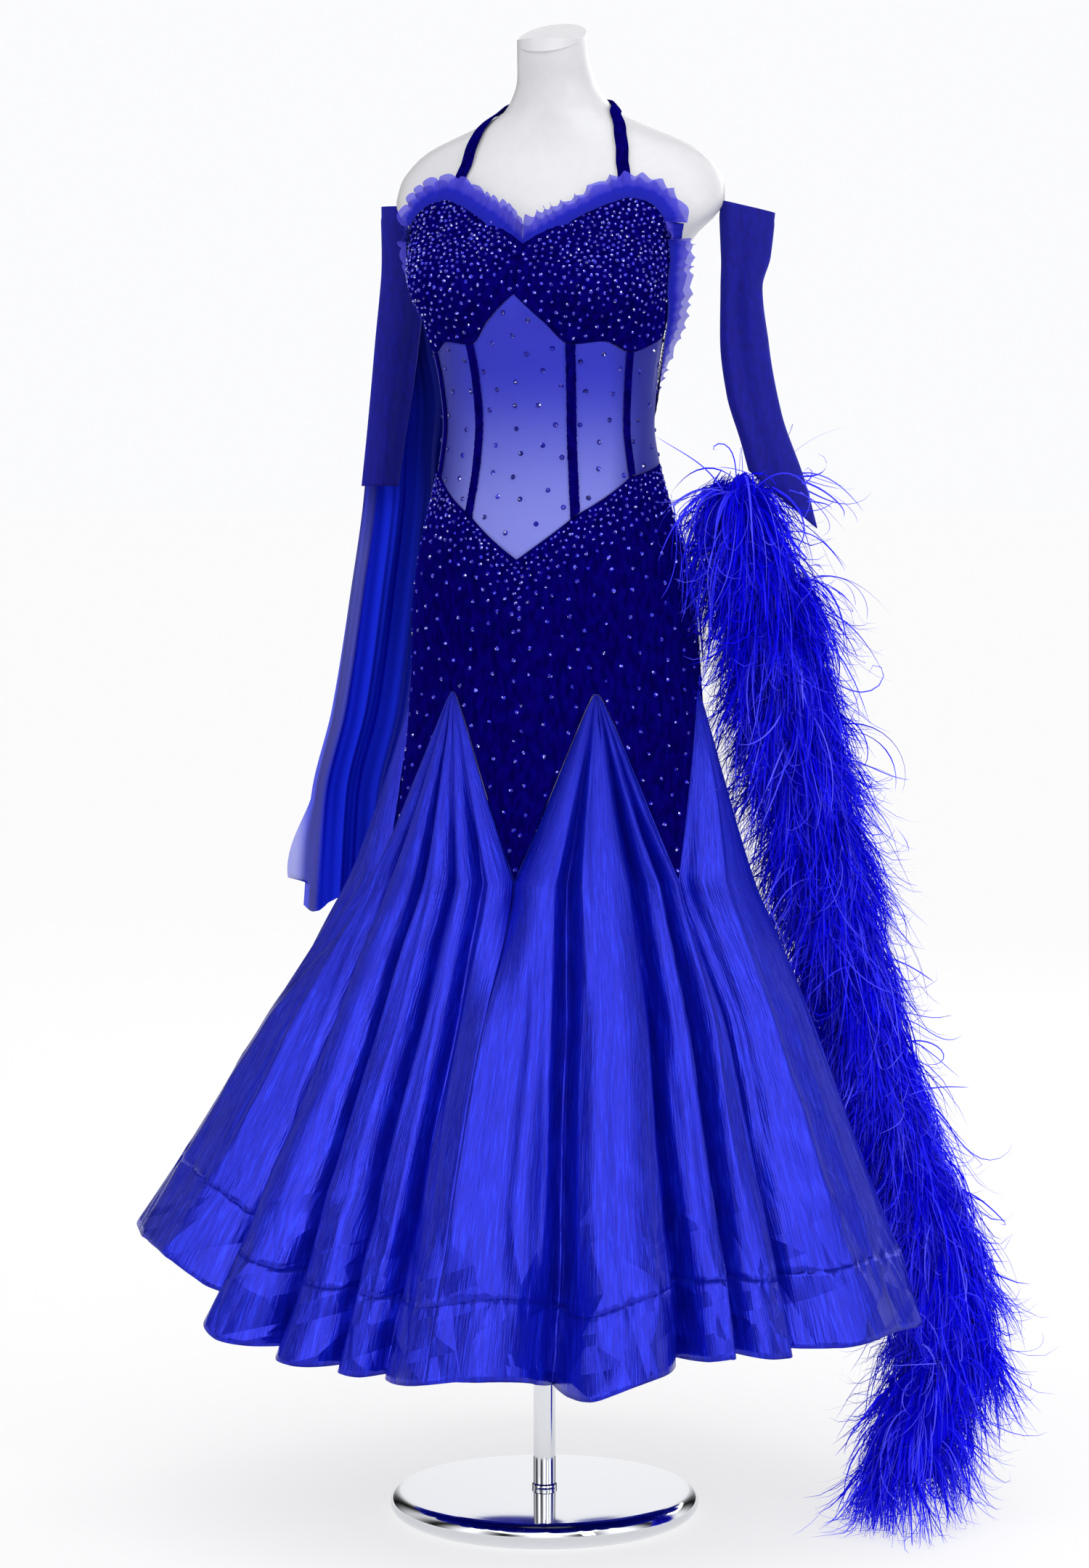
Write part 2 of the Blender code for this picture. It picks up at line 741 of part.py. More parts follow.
def side_flare(turn, depth):
    """The extra flare where the hem is carried up."""
    away = abs((turn - SIDE_FLARE_TURN + 180) % 360 - 180) / SIDE_FLARE_SPREAD
    return SIDE_FLARE * depth**2 * math.cos(math.pi / 2 * min(1.0, away)) ** 2


def skirt_point(godet, across, z):
    """The satin's outer face, level with the velvet's at the seams and out in folds between them."""
    drop = (PEAK_Z - z) / (PEAK_Z - VALLEY_Z)
    depth = max(0.0, (PEAK_Z - z) / (PEAK_Z - HEM_Z))
    half = godet_half_turn(drop)
    turn = godet.turn + across * half
    gap = turn_of(SEAM_GAP / 2, z) * -across
    free = min(1.0, max(0.0, (drop - 1) / ROLL_RELEASE))
    held = 1 - free * free * (3 - 2 * free)
    height = roll_height(godet.turn + across * GODET_HALF_TURN) * (1 - held * across**4)
    out = VELVET_WALL + side_flare(turn, depth) + FOLD_DEPTH * depth**FOLD_POWER * height
    return body_point(turn + gap, z, out)


def fold_columns(godet):
    """Places across a godet that catch the crest, flanks and foot of every roll."""
    places = {-1.0, -BESIDE_SEAM, BESIDE_SEAM, 1.0}
    for roll in ROLLS:
        for share in ROLL_COLUMNS:
            turn = roll.turn + share * roll.half_turn - godet.turn
            places.add(round(((turn + 180) % 360 - 180) / GODET_HALF_TURN, 4))
    kept = []
    for place in sorted(p for p in places if -1 <= p <= 1):
        if not kept or place - kept[-1] > LEAST_COLUMN:
            kept.append(place)
    kept[-1] = 1.0
    return kept


def make_godet(godet, collection):
    columns = fold_columns(godet)
    tops = [drop_height(drop) for drop in UPPER_ROWS]

    def upper_or_lower(across, row):
        """Rows share the velvet's heights down to its points, then run evenly to the band."""
        if row < len(tops):
            return tops[row]
        turn = godet.turn + across * GODET_HALF_TURN
        foot = hem_height(turn) + BAND_HEIGHT + BAND_GAP / 2
        return between(VALLEY_Z, foot, (row - len(tops) + 1) / LOWER_ROWS)

    rows = len(tops) - 1 + LOWER_ROWS
    bm, shares = grid(len(columns) - 1, rows)
    for vert, (share, down) in shares.items():
        across = share_of_table(columns, share)
        vert.co = skirt_point(godet, across, upper_or_lower(across, round(down * rows)))
    thickened(add_object(f"godet_{godet.name}", bm, BLUE_SATIN, collection), SATIN_WALL, -1)

    bm, shares = grid(len(columns) - 1, BAND_ROWS)
    for vert, (share, down) in shares.items():
        across = share_of_table(columns, share)
        foot = hem_height(godet.turn + across * GODET_HALF_TURN)
        vert.co = skirt_point(godet, across, between(foot + BAND_HEIGHT - BAND_GAP / 2, foot, down))
    thickened(add_object(f"hem_band_{godet.name}", bm, BLUE_SATIN, collection), SATIN_WALL, -1)


# Trim on the bodice.


def surface_frame(surface, route, share):
    """A point of a route on a surface, with the directions along it, out of the surface and across."""
    step = 0.002

    def at(place):
        place = min(max(place, 0.0), 1.0) * (len(route) - 1)
        keyed = [(n, row.turn, row.z) for n, row in enumerate(route)]
        rows = [RouteRow(*row) for row in keyed]
        return smooth(rows, "at", "turn", place), smooth(rows, "at", "z", place)

    turn, z = at(share)
    point = surface(turn, z)
    ahead, behind = surface(*at(share + step)), surface(*at(share - step))
    along = (ahead - behind).normalized()
    around = surface(turn + 0.5, z) - surface(turn - 0.5, z)
    upward = surface(turn, z + 0.002) - surface(turn, z - 0.002)
    out = around.cross(upward).normalized()
    return point, along, out, along.cross(out).normalized()


RouteRow = namedtuple("RouteRow", "at turn z")


def mirrored(route, side):
    return [CutPoint(side * row.turn, row.z) for row in route]


def route_shares(surface, route, spacing):
    """Shares of a route that lie evenly spaced along its real length."""
    fine = 400
    points = [surface_frame(surface, route, n / fine)[0] for n in range(fine + 1)]
    lengths = [0.0]
    for first, second in zip(points, points[1:]):
        lengths.append(lengths[-1] + (second - first).length)
    count = round(lengths[-1] / spacing)
    shares = []
    i = 0
    for n in range(count + 1):
        wanted = lengths[-1] * n / count
        while i < fine - 1 and lengths[i + 1] < wanted:
            i += 1
        shares.append((i + (wanted - lengths[i]) / (lengths[i + 1] - lengths[i])) / fine)
    return shares


def make_ruffle(side, name, collection):
    """A gathered tulle strip that stands on the bodice's edge, from the centre front to the centre back."""
    route = mirrored(GARMENT_EDGE, side)
    shares = route_shares(bodice_point, route, RUFFLE_PITCH / RUFFLE_STEPS)[1:-1]
    frames = [surface_frame(bodice_point, route, share) for share in shares]
    bm, places = grid(len(shares) - 1, 1)
    for vert, (share, down) in places.items():
        n = round(share * (len(shares) - 1))
        point, _, out, across = frames[n]
        up = across if side < 0 else -across
        up = Vector((0.0, 0.0, 1.0)).lerp(up, min(1.0, n / RUFFLE_DIP_STEPS)).normalized()
        rise = 1 - down
        wave = RUFFLE_WAVE * (0.15 + 0.85 * rise) * math.cos(2 * math.pi * n / RUFFLE_STEPS)
        lift = RUFFLE_LIFT + RUFFLE_LEAN * RUFFLE_HEIGHT * rise + wave
        vert.co = point + up * (2 * SEAM_GAP + RUFFLE_HEIGHT * rise) + out * lift
    if side < 0:
        bmesh.ops.reverse_faces(bm, faces=list(bm.faces))
    thickened(add_object(f"ruffle_{name}", bm, BLUE_TULLE, collection), RUFFLE_WALL, 0)


def make_strap(side, name, collection):
    """A flat velvet strap that follows the form from a cup top to the back of the neck."""

    def surface(turn, z):
        risen = min(1.0, (z - STRAP_ROUTE[0].z) / (STRAP_NECK_Z - STRAP_ROUTE[0].z))
        return body_point(turn, z, between(STRAP_OUT_FOOT, STRAP_OUT_NECK, risen))

    route = mirrored(STRAP_ROUTE, side)
    bm, places = grid(STRAP_STEPS, 2)
    for vert, (share, down) in places.items():
        point, _, out, across = surface_frame(surface, route, share)
        crown = 1 - (2 * down - 1) ** 2
        vert.co = point + across * STRAP_WIDTH * (down - 0.5) + out * 0.0004 * crown
    bmesh.ops.recalc_face_normals(bm, faces=list(bm.faces))
    thickened(add_object(f"strap_{name}", bm, BLUE_VELVET, collection), STRAP_WALL, 0)


# Sleeves, float and boa.


def make_sleeve(name, rings, twist, slant, trough_turn, collection):
    """A flattened tube with a soft trough down it. slant cuts the cuff to a point on the outer side."""
    rows = 8
    turned = math.radians(twist)
    wide = Vector((math.cos(turned), math.sin(turned), 0.0))
    deep = Vector((math.sin(turned), -math.cos(turned), 0.0))
    top, foot = rings[0].z, rings[-1].z
    bm, shares = grid(SLEEVE_SIDES, rows)
    for vert, (share, down) in shares.items():
        angle = 2 * math.pi * share
        z = between(top, foot, down)
        half_wide = smooth(rings, "z", "half_wide", z)
        half_deep = smooth(rings, "z", "half_deep", z)
        across = math.sin(angle) * half_wide
        away = abs(math.remainder(angle - trough_turn, 2 * math.pi)) / TROUGH_SPREAD
        near = math.cos(math.pi / 2 * min(1.0, away)) ** 2
        through = math.cos(angle) * half_deep - SLEEVE_TROUGH * near * math.sin(math.pi * (0.15 + 0.7 * down))
        centre = Vector((smooth(rings, "z", "x", z), smooth(rings, "z", "y", z), z))
        vert.co = centre + wide * across + deep * through
        vert.co.z -= slant * (across + half_wide) * max(0.0, 2 * down - 1)
    bmesh.ops.remove_doubles(bm, verts=list(bm.verts), dist=0.00001)
    bmesh.ops.recalc_face_normals(bm, faces=list(bm.faces))
    thickened(add_object(name, bm, BLUE_JERSEY, collection), SLEEVE_WALL, -1)


def make_float(collection):
    """A long chiffon panel, gathered at its top and hanging in loose folds."""
    turned = math.radians(FLOAT_TWIST)
    wide = Vector((math.cos(turned), math.sin(turned), 0.0))
    deep = Vector((math.sin(turned), -math.cos(turned), 0.0))
    rows = 10
    bm, shares = grid(FLOAT_COLUMNS, rows)
    for vert, (share, down) in shares.items():
        z = between(FLOAT_ROWS[0].z, FLOAT_ROWS[-1].z, down)
        half_wide = smooth(FLOAT_ROWS, "z", "half_wide", z)
        fold = smooth(FLOAT_ROWS, "z", "fold_deep", z) * math.cos(2 * math.pi * FLOAT_WAVES * share)
        centre = Vector((smooth(FLOAT_ROWS, "z", "centre_x", z), smooth(FLOAT_ROWS, "z", "centre_y", z), z))
        vert.co = centre + wide * half_wide * (2 * share - 1) + deep * fold
    thickened(add_object("float_right", bm, BLUE_CHIFFON, collection), FLOAT_WALL, 0)


def boa_centre(z):
    angle = math.radians(smooth(BOA_ROWS, "z", "turn", z))
    radius = smooth(BOA_ROWS, "z", "radius", z)
    return Vector((radius * math.sin(angle), -radius * math.cos(angle), z))


def lumpy(ring, side):
    """A feather boa's core is uneven: its radius swells and thins from place to place."""
    return 1 + 0.10 * math.sin(1.7 * ring + 2.1 * side) + 0.08 * math.sin(0.61 * ring - 1.3 * side)


def make_boa(collection):
    """A core that follows the skirt's side, with drooping feather locks drawn out of its faces."""
    bm, shares = grid(BOA_SIDES, BOA_RINGS)
    top, foot = BOA_ROWS[0].z, BOA_ROWS[-1].z
    for vert, (share, down) in shares.items():
        z = between(top, foot, down)
        centre = boa_centre(z)
        ring, spoke = round(down * BOA_RINGS), round(share * BOA_SIDES) % BOA_SIDES
        angle = 2 * math.pi * spoke / BOA_SIDES + 0.35 * (ring % 2)
        reach = smooth(BOA_ROWS, "z", "thick", z) * lumpy(ring, spoke)
        vert.co = centre + Vector((math.sin(angle), -math.cos(angle), 0.0)) * reach
    bmesh.ops.remove_doubles(bm, verts=list(bm.verts), dist=0.00001)
    bmesh.ops.holes_fill(bm, edges=list(bm.edges), sides=0)
    bmesh.ops.recalc_face_normals(bm, faces=list(bm.faces))
    bm.faces.ensure_lookup_table()
    roots = []
    for n, face in enumerate(bm.faces):
        middle = face.calc_center_median()
        away = middle - boa_centre(middle.z)
        outward = Vector((middle.x, middle.y, 0.0)).normalized()
        free = middle.z < HEM_Z - 0.05 or away.normalized().dot(outward) > FEATHER_LEAST_FACING
        free = free and middle.z < CUFF_CLEAR_Z
        if len(face.verts) == 4 and n % 2 == (n // BOA_SIDES) % 2 and free:
            roots.append(face)
    bmesh.ops.inset_individual(bm, faces=roots, thickness=LOCK_INSET)
    for n, root in enumerate(roots):
        draw_lock(bm, root, n)
    bmesh.ops.recalc_face_normals(bm, faces=list(bm.faces))
    add_object("boa_left", bm, BLUE_FEATHER, collection)


def draw_lock(bm, root, n):
    """One lock: it leaves the core sideways, then droops, and narrows to its tip."""
    middle = root.calc_center_median()
    away = middle - boa_centre(middle.z)
    away.z = 0.0
    away.normalize()
    reach = LOCK_REACH * (0.78 + 0.22 * math.sin(2.4 * n))
    sway = Vector((-away.y, away.x, 0.0)) * 0.010 * math.sin(1.9 * n)
    for share, width in ((0.5, 0.55), (1.0, LOCK_TIP_SHARE)):
        goal = middle + away * (reach * share**0.8) + sway * share
        goal.z -= LOCK_DROOP * share**1.8
        goal.z = max(goal.z, LOCK_FLOOR_Z + 0.002 * share)
        root = bmesh.ops.extrude_discrete_faces(bm, faces=[root])["faces"][0]
        centre = root.calc_center_median()
        for vert in root.verts:
            vert.co = goal + (vert.co - centre) * width


def main():
    clear_scene()
    collection = bpy.data.collections.new("ballroom_gown")
    bpy.context.scene.collection.children.link(collection)
    make_base(collection)
    socket_top = BASE_HEIGHT + SOCKET_HEIGHT
    make_cylinder("stand_socket", SOCKET_RADIUS, BASE_HEIGHT + SEAM_GAP, socket_top, collection)
    make_cylinder("stand_pole", POLE_RADIUS, socket_top + SEAM_GAP, FORM_FOOT_Z - SEAM_GAP, collection)
    make_dress_form(collection)
    make_bodice(collection)
    make_hips(collection)
    for godet in GODETS:
        make_godet(godet, collection)
    for side, name in ((1, "left"), (-1, "right")):
        make_ruffle(side, name, collection)
        make_strap(side, name, collection)
    make_sleeve("sleeve_left", LEFT_SLEEVE, LEFT_SLEEVE_TWIST, LEFT_CUFF_SLANT, -0.25, collection)
    make_sleeve("sleeve_right", RIGHT_SLEEVE, RIGHT_SLEEVE_TWIST, RIGHT_CUFF_SLANT, 0.55, collection)
    make_float(collection)
    make_boa(collection)


main()
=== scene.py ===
"""A royal blue ballroom gown on its dress form and stand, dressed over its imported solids.

Metres, +Z up. The gown's front faces -Y and the wearer's left is +X. "turn" is an angle in degrees round the
body from the centre front towards the wearer's left, and "out" a distance out of the body's surface.
"""

import math
from collections import namedtuple
from itertools import product

import bmesh
import bpy
import numpy as np
from bpy.props import FloatProperty, FloatVectorProperty, IntProperty, PointerProperty
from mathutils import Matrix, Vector


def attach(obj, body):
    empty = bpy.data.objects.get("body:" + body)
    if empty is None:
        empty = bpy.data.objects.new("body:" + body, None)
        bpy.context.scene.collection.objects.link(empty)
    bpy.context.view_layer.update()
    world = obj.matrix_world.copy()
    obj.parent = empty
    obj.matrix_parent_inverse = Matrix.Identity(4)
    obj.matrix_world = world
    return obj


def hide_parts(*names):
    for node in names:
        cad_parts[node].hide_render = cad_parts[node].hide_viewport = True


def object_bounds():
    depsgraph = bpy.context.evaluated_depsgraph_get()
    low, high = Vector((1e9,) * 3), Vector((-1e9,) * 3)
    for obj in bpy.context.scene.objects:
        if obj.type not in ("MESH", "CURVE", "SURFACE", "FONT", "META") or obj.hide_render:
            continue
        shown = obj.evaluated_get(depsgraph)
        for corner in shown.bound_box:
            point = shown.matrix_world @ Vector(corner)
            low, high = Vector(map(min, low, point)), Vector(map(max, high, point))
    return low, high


bl_info = {
    "name": "Ballroom Gown",
    "version": (1, 0, 0),
    "blender": (4, 5, 0),
    "location": "3D View > Sidebar > Gown",
    "description": "Dresses a ballroom gown's solids in velvet, satin, net, feathers and stones",
    "category": "Add Mesh",
}

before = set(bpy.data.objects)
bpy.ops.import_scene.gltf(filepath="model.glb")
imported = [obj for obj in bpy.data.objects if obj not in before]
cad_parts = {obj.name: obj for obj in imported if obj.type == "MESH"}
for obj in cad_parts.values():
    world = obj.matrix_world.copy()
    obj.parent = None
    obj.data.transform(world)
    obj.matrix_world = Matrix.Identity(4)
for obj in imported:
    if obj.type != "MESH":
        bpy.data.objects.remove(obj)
SOLID_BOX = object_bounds()

SIDES = ((1, "left"), (-1, "right"))
UPWARD = np.array([0.0, 0.0, 1.0])
BLACK = (0.0, 0.0, 0.0)
WELD = 0.00001

# The gown's own sizes, which its solids share.
SEAM_GAP = 0.0003
VELVET_WALL = 0.0016
MESH_WALL = 0.0010
SATIN_WALL = 0.0014
FORM_CLEARANCE = 0.0030
BASE_RADIUS = 0.167
BASE_HEIGHT = 0.028
BASE_FOOT_RADIUS = 0.154
BASE_ROLL = 0.014
BASE_HOLLOW = 0.0015
POLE_RADIUS = 0.0119
COLLAR_RADIUS = 0.0134
FORM_FOOT_Z = 0.7625
NECK_CUT_Z = 1.5845
NECK_CUT_SLOPE = 0.42
NECK_CAP = (0.0, 0.55, 0.93, 0.985)

# Half girths of the gown from neck to hem: height, half width, and where its front and back stand.
SECTIONS = (
    (1.6025, 0.0390, -0.020, 0.066), (1.5625, 0.0410, -0.014, 0.074), (1.5375, 0.0455, -0.004, 0.090),
    (1.5195, 0.0545, 0.000, 0.102), (1.5075, 0.0640, 0.001, 0.110), (1.4945, 0.0900, 0.001, 0.118),
    (1.4805, 0.1240, -0.001, 0.124), (1.4675, 0.1520, -0.004, 0.128), (1.4525, 0.1700, -0.010, 0.132),
    (1.4325, 0.1825, -0.022, 0.135), (1.4125, 0.1850, -0.036, 0.136), (1.3975, 0.1780, -0.047, 0.135),
    (1.3775, 0.1590, -0.060, 0.130), (1.3575, 0.1480, -0.075, 0.122), (1.3335, 0.1400, -0.092, 0.112),
    (1.3025, 0.1345, -0.102, 0.106), (1.2625, 0.1245, -0.092, 0.104), (1.2225, 0.1175, -0.079, 0.101),
    (1.1765, 0.1140, -0.072, 0.099), (1.1325, 0.1195, -0.075, 0.106), (1.0825, 0.1315, -0.086, 0.126),
    (1.0355, 0.1435, -0.094, 0.145), (0.9825, 0.1525, -0.093, 0.159), (0.9185, 0.1565, -0.085, 0.162),
    (0.8625, 0.1600, -0.085, 0.164), (0.8125, 0.1650, -0.089, 0.168), (0.7005, 0.1810, -0.101, 0.184),
    (0.6245, 0.2040, -0.122, 0.206), (0.5625, 0.2210, -0.141, 0.225), (0.4965, 0.2380, -0.171, 0.245),
    (0.4125, 0.2600, -0.205, 0.273), (0.3175, 0.2870, -0.244, 0.304), (0.2305, 0.3110, -0.280, 0.331),
    (0.1425, 0.3350, -0.314, 0.358),
)
FORM_FOOT = (
    (0.8625, 0.1500, -0.070, 0.150), (0.8125, 0.1280, -0.045, 0.118), (0.7775, 0.0850, -0.010, 0.070),
    (FORM_FOOT_Z, 0.0500, 0.000, 0.040),
)

# Cut lines: turn from the centre front on either side, and height.
GARMENT_EDGE = (
    (0, 1.3655), (8, 1.3825), (17, 1.4025), (25, 1.4155), (32, 1.4215), (39, 1.4185), (47, 1.4065),
    (57, 1.3865), (66, 1.3645), (75, 1.3455), (85, 1.3235), (95, 1.2955), (103, 1.2625), (111, 1.2245),
    (120, 1.1945), (132, 1.1725), (150, 1.1585), (180, 1.1525),
)
CUP_FOOT = ((0, 1.3115), (13, 1.2835), (26, 1.2595), (43, 1.2625), (60, 1.2515), (78, 1.2595), (97, 1.2695))
YOKE_TOP = ((0, 1.0355), (26, 1.0815), (60, 1.1225), (97, 1.1345), (180, 1.1345))
CUP_SIDE_TURN = 97
FRONT_BONE_TURN = 26
SIDE_BONE_TURN = 60
BONE_WIDTH = 0.0105
BONE_WIDTH_Z = 1.1765
BONE_WALL = 0.0012
BONE_LAP = 0.0006
BONE_OUT = MESH_WALL + 2 * SEAM_GAP + VELVET_WALL - 0.0006
BONE_ROWS = 150
BONE_CROWN = 0.0008
BONE_GROOVE = 0.0005
BONE_FRAY = 0.00045

# The moulded cups.
BUST_TURN = 38
BUST_Z = 1.3365
BUST_SPREAD_TURN = 50
BUST_SPREAD_Z = 0.083
BUST_DEPTH = 0.028

# Skirt.
PEAK_Z = 0.8945
VALLEY_Z = 0.6975
HEM_Z = 0.222
BAND_HEIGHT = 0.072
HIP_LEVEL_Z = 0.9075
ZIGZAG_GAP = 0.0004
BAND_GAP = 0.0006
BAND_TUCK = 0.004
SEAM_RIDGE = 0.0017
SEAM_RIDGE_Z = 0.0045
SEAM_RIDGE_WIDTH = 0.0040
STITCH_DEPTH = 0.0012
STITCH_WIDTH = 0.0014
DIMPLE_DEPTH = 0.0010
DIMPLE_HEIGHT = 0.009
VELVET_SLACK = 0.0042
SEAM_CALM = 0.004
FALL_REACH = 0.32
GODET_HALF_TURN = 30
TIP_HALF_TURN = 1.0
FLARE_POWER = 0.88
FOLD_DEPTH = 0.104
FOLD_POWER = 0.8
LOBE_SHARE = 0.30
# The hem dips and lifts from roll to roll, and is carried up at the right side.
HEM_LINE = (
    (-180, 0.222), (-133, 0.223), (-120, 0.236), (-105, 0.275), (-90, 0.313), (-75, 0.328), (-62, 0.324),
    (-56, 0.318), (-50, 0.304), (-45, 0.278), (-42, 0.262), (-38, 0.246), (-30, 0.229), (-22, 0.220),
    (-12, 0.216), (-3, 0.219), (3, 0.228), (12, 0.229), (16, 0.219), (20, 0.204), (24, 0.213),
    (29, 0.227), (34, 0.233), (38, 0.232), (44, 0.240), (52, 0.232), (60, 0.231), (68, 0.232),
    (76, 0.239), (84, 0.236), (100, 0.229), (120, 0.222),
)
HEM_SOFTENING = (-3, -1.5, 0, 1.5, 3)
SIDE_FLARE = 0.102
SIDE_FLARE_TURN = -69
SIDE_FLARE_SPREAD = 56

# The satin hangs in rolls that run on from godet to godet, with a sharp trough between each two.
Roll = namedtuple("Roll", "turn half_turn height")
ROLLS = (
    Roll(3.5, 14.5, 0.74),
    Roll(28.5, 10.5, 0.76),
    Roll(44, 5, 0.50),
    Roll(54.5, 5.5, 0.46),
    Roll(80, 20, 0.76),
    Roll(110, 10, 0.30),
    Roll(133, 13, 0.60),
    Roll(156, 10, 0.54),
    Roll(180, 14, 0.66),
    Roll(-153, 13, 0.64),
    Roll(-130, 10, 0.54),
    Roll(-111.5, 8.5, 0.50),
    Roll(-90, 13, 0.70),
    Roll(-60, 17, 0.76),
    Roll(-36.5, 6.5, 0.58),
    Roll(-24.5, 5.5, 0.46),
    Roll(-14.5, 5, 0.40),
)
ROLL_POWER = 2.6
ROLL_RELEASE = 0.8

# A crease is finer than a roll: it runs from one turn and height to another, down a roll or beside it.
Crease = namedtuple("Crease", "turn z to_turn to_z width depth")
CREASES = [
    Crease(*row)
    for row in (
        (30, 0.892, 31, 0.842, 0.0022, -0.003), (21, 0.86, 22, 0.56, 0.0035, 0.0036),
        (39, 0.87, 42, 0.38, 0.005, -0.005), (36, 0.76, 37.5, 0.33, 0.012, 0.0044),
        (26, 0.7, 26, 0.3, 0.009, -0.0036), (45, 0.76, 46, 0.33, 0.0045, 0.0046),
        (1, 0.64, 0, 0.33, 0.011, 0.004), (9, 0.66, 11.5, 0.3, 0.006, -0.0045),
        (14.5, 0.62, 15.5, 0.28, 0.004, 0.0034), (53, 0.8, 53, 0.33, 0.004, 0.0032),
        (64, 0.82, 63, 0.34, 0.005, -0.005), (70, 0.86, 70, 0.32, 0.006, 0.0046),
        (90, 0.892, 86, 0.36, 0.0045, -0.004), (96, 0.76, 94, 0.33, 0.0045, 0.004),
        (78, 0.6, 77, 0.3, 0.014, 0.005), (-29.5, 0.892, -30.5, 0.62, 0.0026, -0.0034),
        (-20, 0.86, -19.5, 0.36, 0.0035, 0.003), (-10, 0.8, -5, 0.36, 0.0045, -0.0044),
        (-44, 0.8, -44.5, 0.36, 0.004, -0.0046), (-50, 0.76, -51, 0.34, 0.005, 0.0042),
        (-58, 0.66, -59, 0.32, 0.013, 0.0048), (-66, 0.72, -67, 0.33, 0.006, -0.0044),
        (-88, 0.86, -87, 0.34, 0.005, -0.0048), (-95, 0.72, -96, 0.32, 0.011, 0.005),
        (-116, 0.78, -117, 0.33, 0.005, -0.0044), (-124, 0.74, -125, 0.32, 0.008, 0.0046),
        (-143, 0.86, -142, 0.34, 0.0045, -0.0046), (-151, 0.76, -152, 0.33, 0.009, 0.0048),
        (-170, 0.7, -169, 0.34, 0.006, -0.0044), (-178, 0.66, -179, 0.32, 0.012, 0.0044),
        (154, 0.86, 153, 0.34, 0.005, -0.0046), (162, 0.74, 163, 0.32, 0.009, 0.0048),
        (135, 0.78, 136, 0.33, 0.005, -0.0042), (126, 0.74, 125, 0.33, 0.008, 0.0044),
        (108, 0.76, 109, 0.34, 0.0045, 0.0036),
    )
]
CREASE_FADE_IN = 0.16
CREASE_FADE_OUT = 0.22

# Where two rolls meet, the cloth is pinched into a crisp valley with a lip on each side.
VALLEY_DEPTH = 0.0105
VALLEY_WIDTH = 0.0068
LIP_DEPTH = 0.0032
LIP_WIDTH = 0.0040
LIP_AWAY = 0.0150
VALLEY_FADE = (0.84, 0.68)
VALLEY_HEM_SHARE = 0.35

# Flat planes that the satin breaks into: how many edges go round it, their depth and their lean.
PLANES = ((46, 0.0034, 1.6), (88, 0.0020, -2.2))
PLANE_TOP_Z = 0.80
PLANE_FOOT_Z = 0.24

# Dents that the stiffened hem presses into the satin above it.
DENTS = 84
DENT_TOP_Z = 0.50
DENT_WIDTHS = (0.010, 0.030)
DENT_HEIGHTS = (0.018, 0.050)
DENT_DEPTHS = (0.0014, 0.0042)

Godet = namedtuple("Godet", "name turn")
GODETS = (
    Godet("front_left", 30),
    Godet("side_left", 90),
    Godet("back_left", 150),
    Godet("back_right", -150),
    Godet("side_right", -90),
    Godet("front_right", -30),
)

# Tulle ruffle: how far each layer leans out, its share of the height, how far it stands off and laps over the
# velvet, and how free its foot is. At the turns under the arms it rises and leans out more, in calmer waves.
Frill = namedtuple("Frill", "name lean share lift overlap free")
FRILLS = (Frill("outer", 0.22, 1.0, 0.0018, 0.0125, 0.0), Frill("inner", 0.06, 0.84, 0.0002, 0.0005, 0.5))
FRILL_COLUMNS = 620
FRILL_ROWS = 8
FRILL_DIP = 0.058
FRILL_WAVE = (0.0002, 0.0026)
FRILL_SWAY = 0.0020
FRILL_GATHER = 0.0005
FRILL_POINT = 0.0030
SIDE_FRILL_TURNS = (52, 76, 102, 128)
SIDE_FRILL_RISE = 0.30
SIDE_FRILL_LEAN = 0.55
SIDE_FRILL_CALM = 0.65

# Halter straps, from the cup tops over the shoulders to the back of the neck.
STRAP_WIDTH = 0.013
STRAP_COLUMNS = 90
STRAP_FREE_Z = 1.4775
STRAP_CROWN = 0.0006
STRAP_LIFT = (-0.0006, 0.0020)
STRAP_ROUTE = (
    (30, 1.4275), (30, 1.448), (33, 1.467), (39, 1.480), (49, 1.4905), (64, 1.501), (84, 1.509),
    (115, 1.5145), (148, 1.517), (179, 1.5175),
)

# Detached sleeves: centre line, and half widths across and through the flattened tube.
LEFT_SLEEVE = (
    (0.2030, 0.0688, 1.4055, 0.0285, 0.0142),
    (0.2015, 0.0690, 1.3525, 0.0245, 0.0135),
    (0.1975, 0.0670, 1.3205, 0.0205, 0.0140),
    (0.2010, 0.0670, 1.2625, 0.0240, 0.0145),
    (0.2110, 0.0700, 1.2075, 0.0275, 0.0145),
    (0.2310, 0.0750, 1.1575, 0.0330, 0.0130),
    (0.2410, 0.0783, 1.1265, 0.0350, 0.0120),
)
RIGHT_SLEEVE = (
    (-0.1853, 0.0885, 1.4105, 0.0290, 0.0200),
    (-0.1925, 0.0950, 1.3325, 0.0245, 0.0135),
    (-0.1985, 0.0930, 1.2725, 0.0240, 0.0140),
    (-0.2045, 0.0900, 1.2125, 0.0228, 0.0140),
    (-0.2110, 0.0870, 1.1575, 0.0210, 0.0130),
    (-0.2170, 0.0850, 1.1075, 0.0200, 0.0120),
)
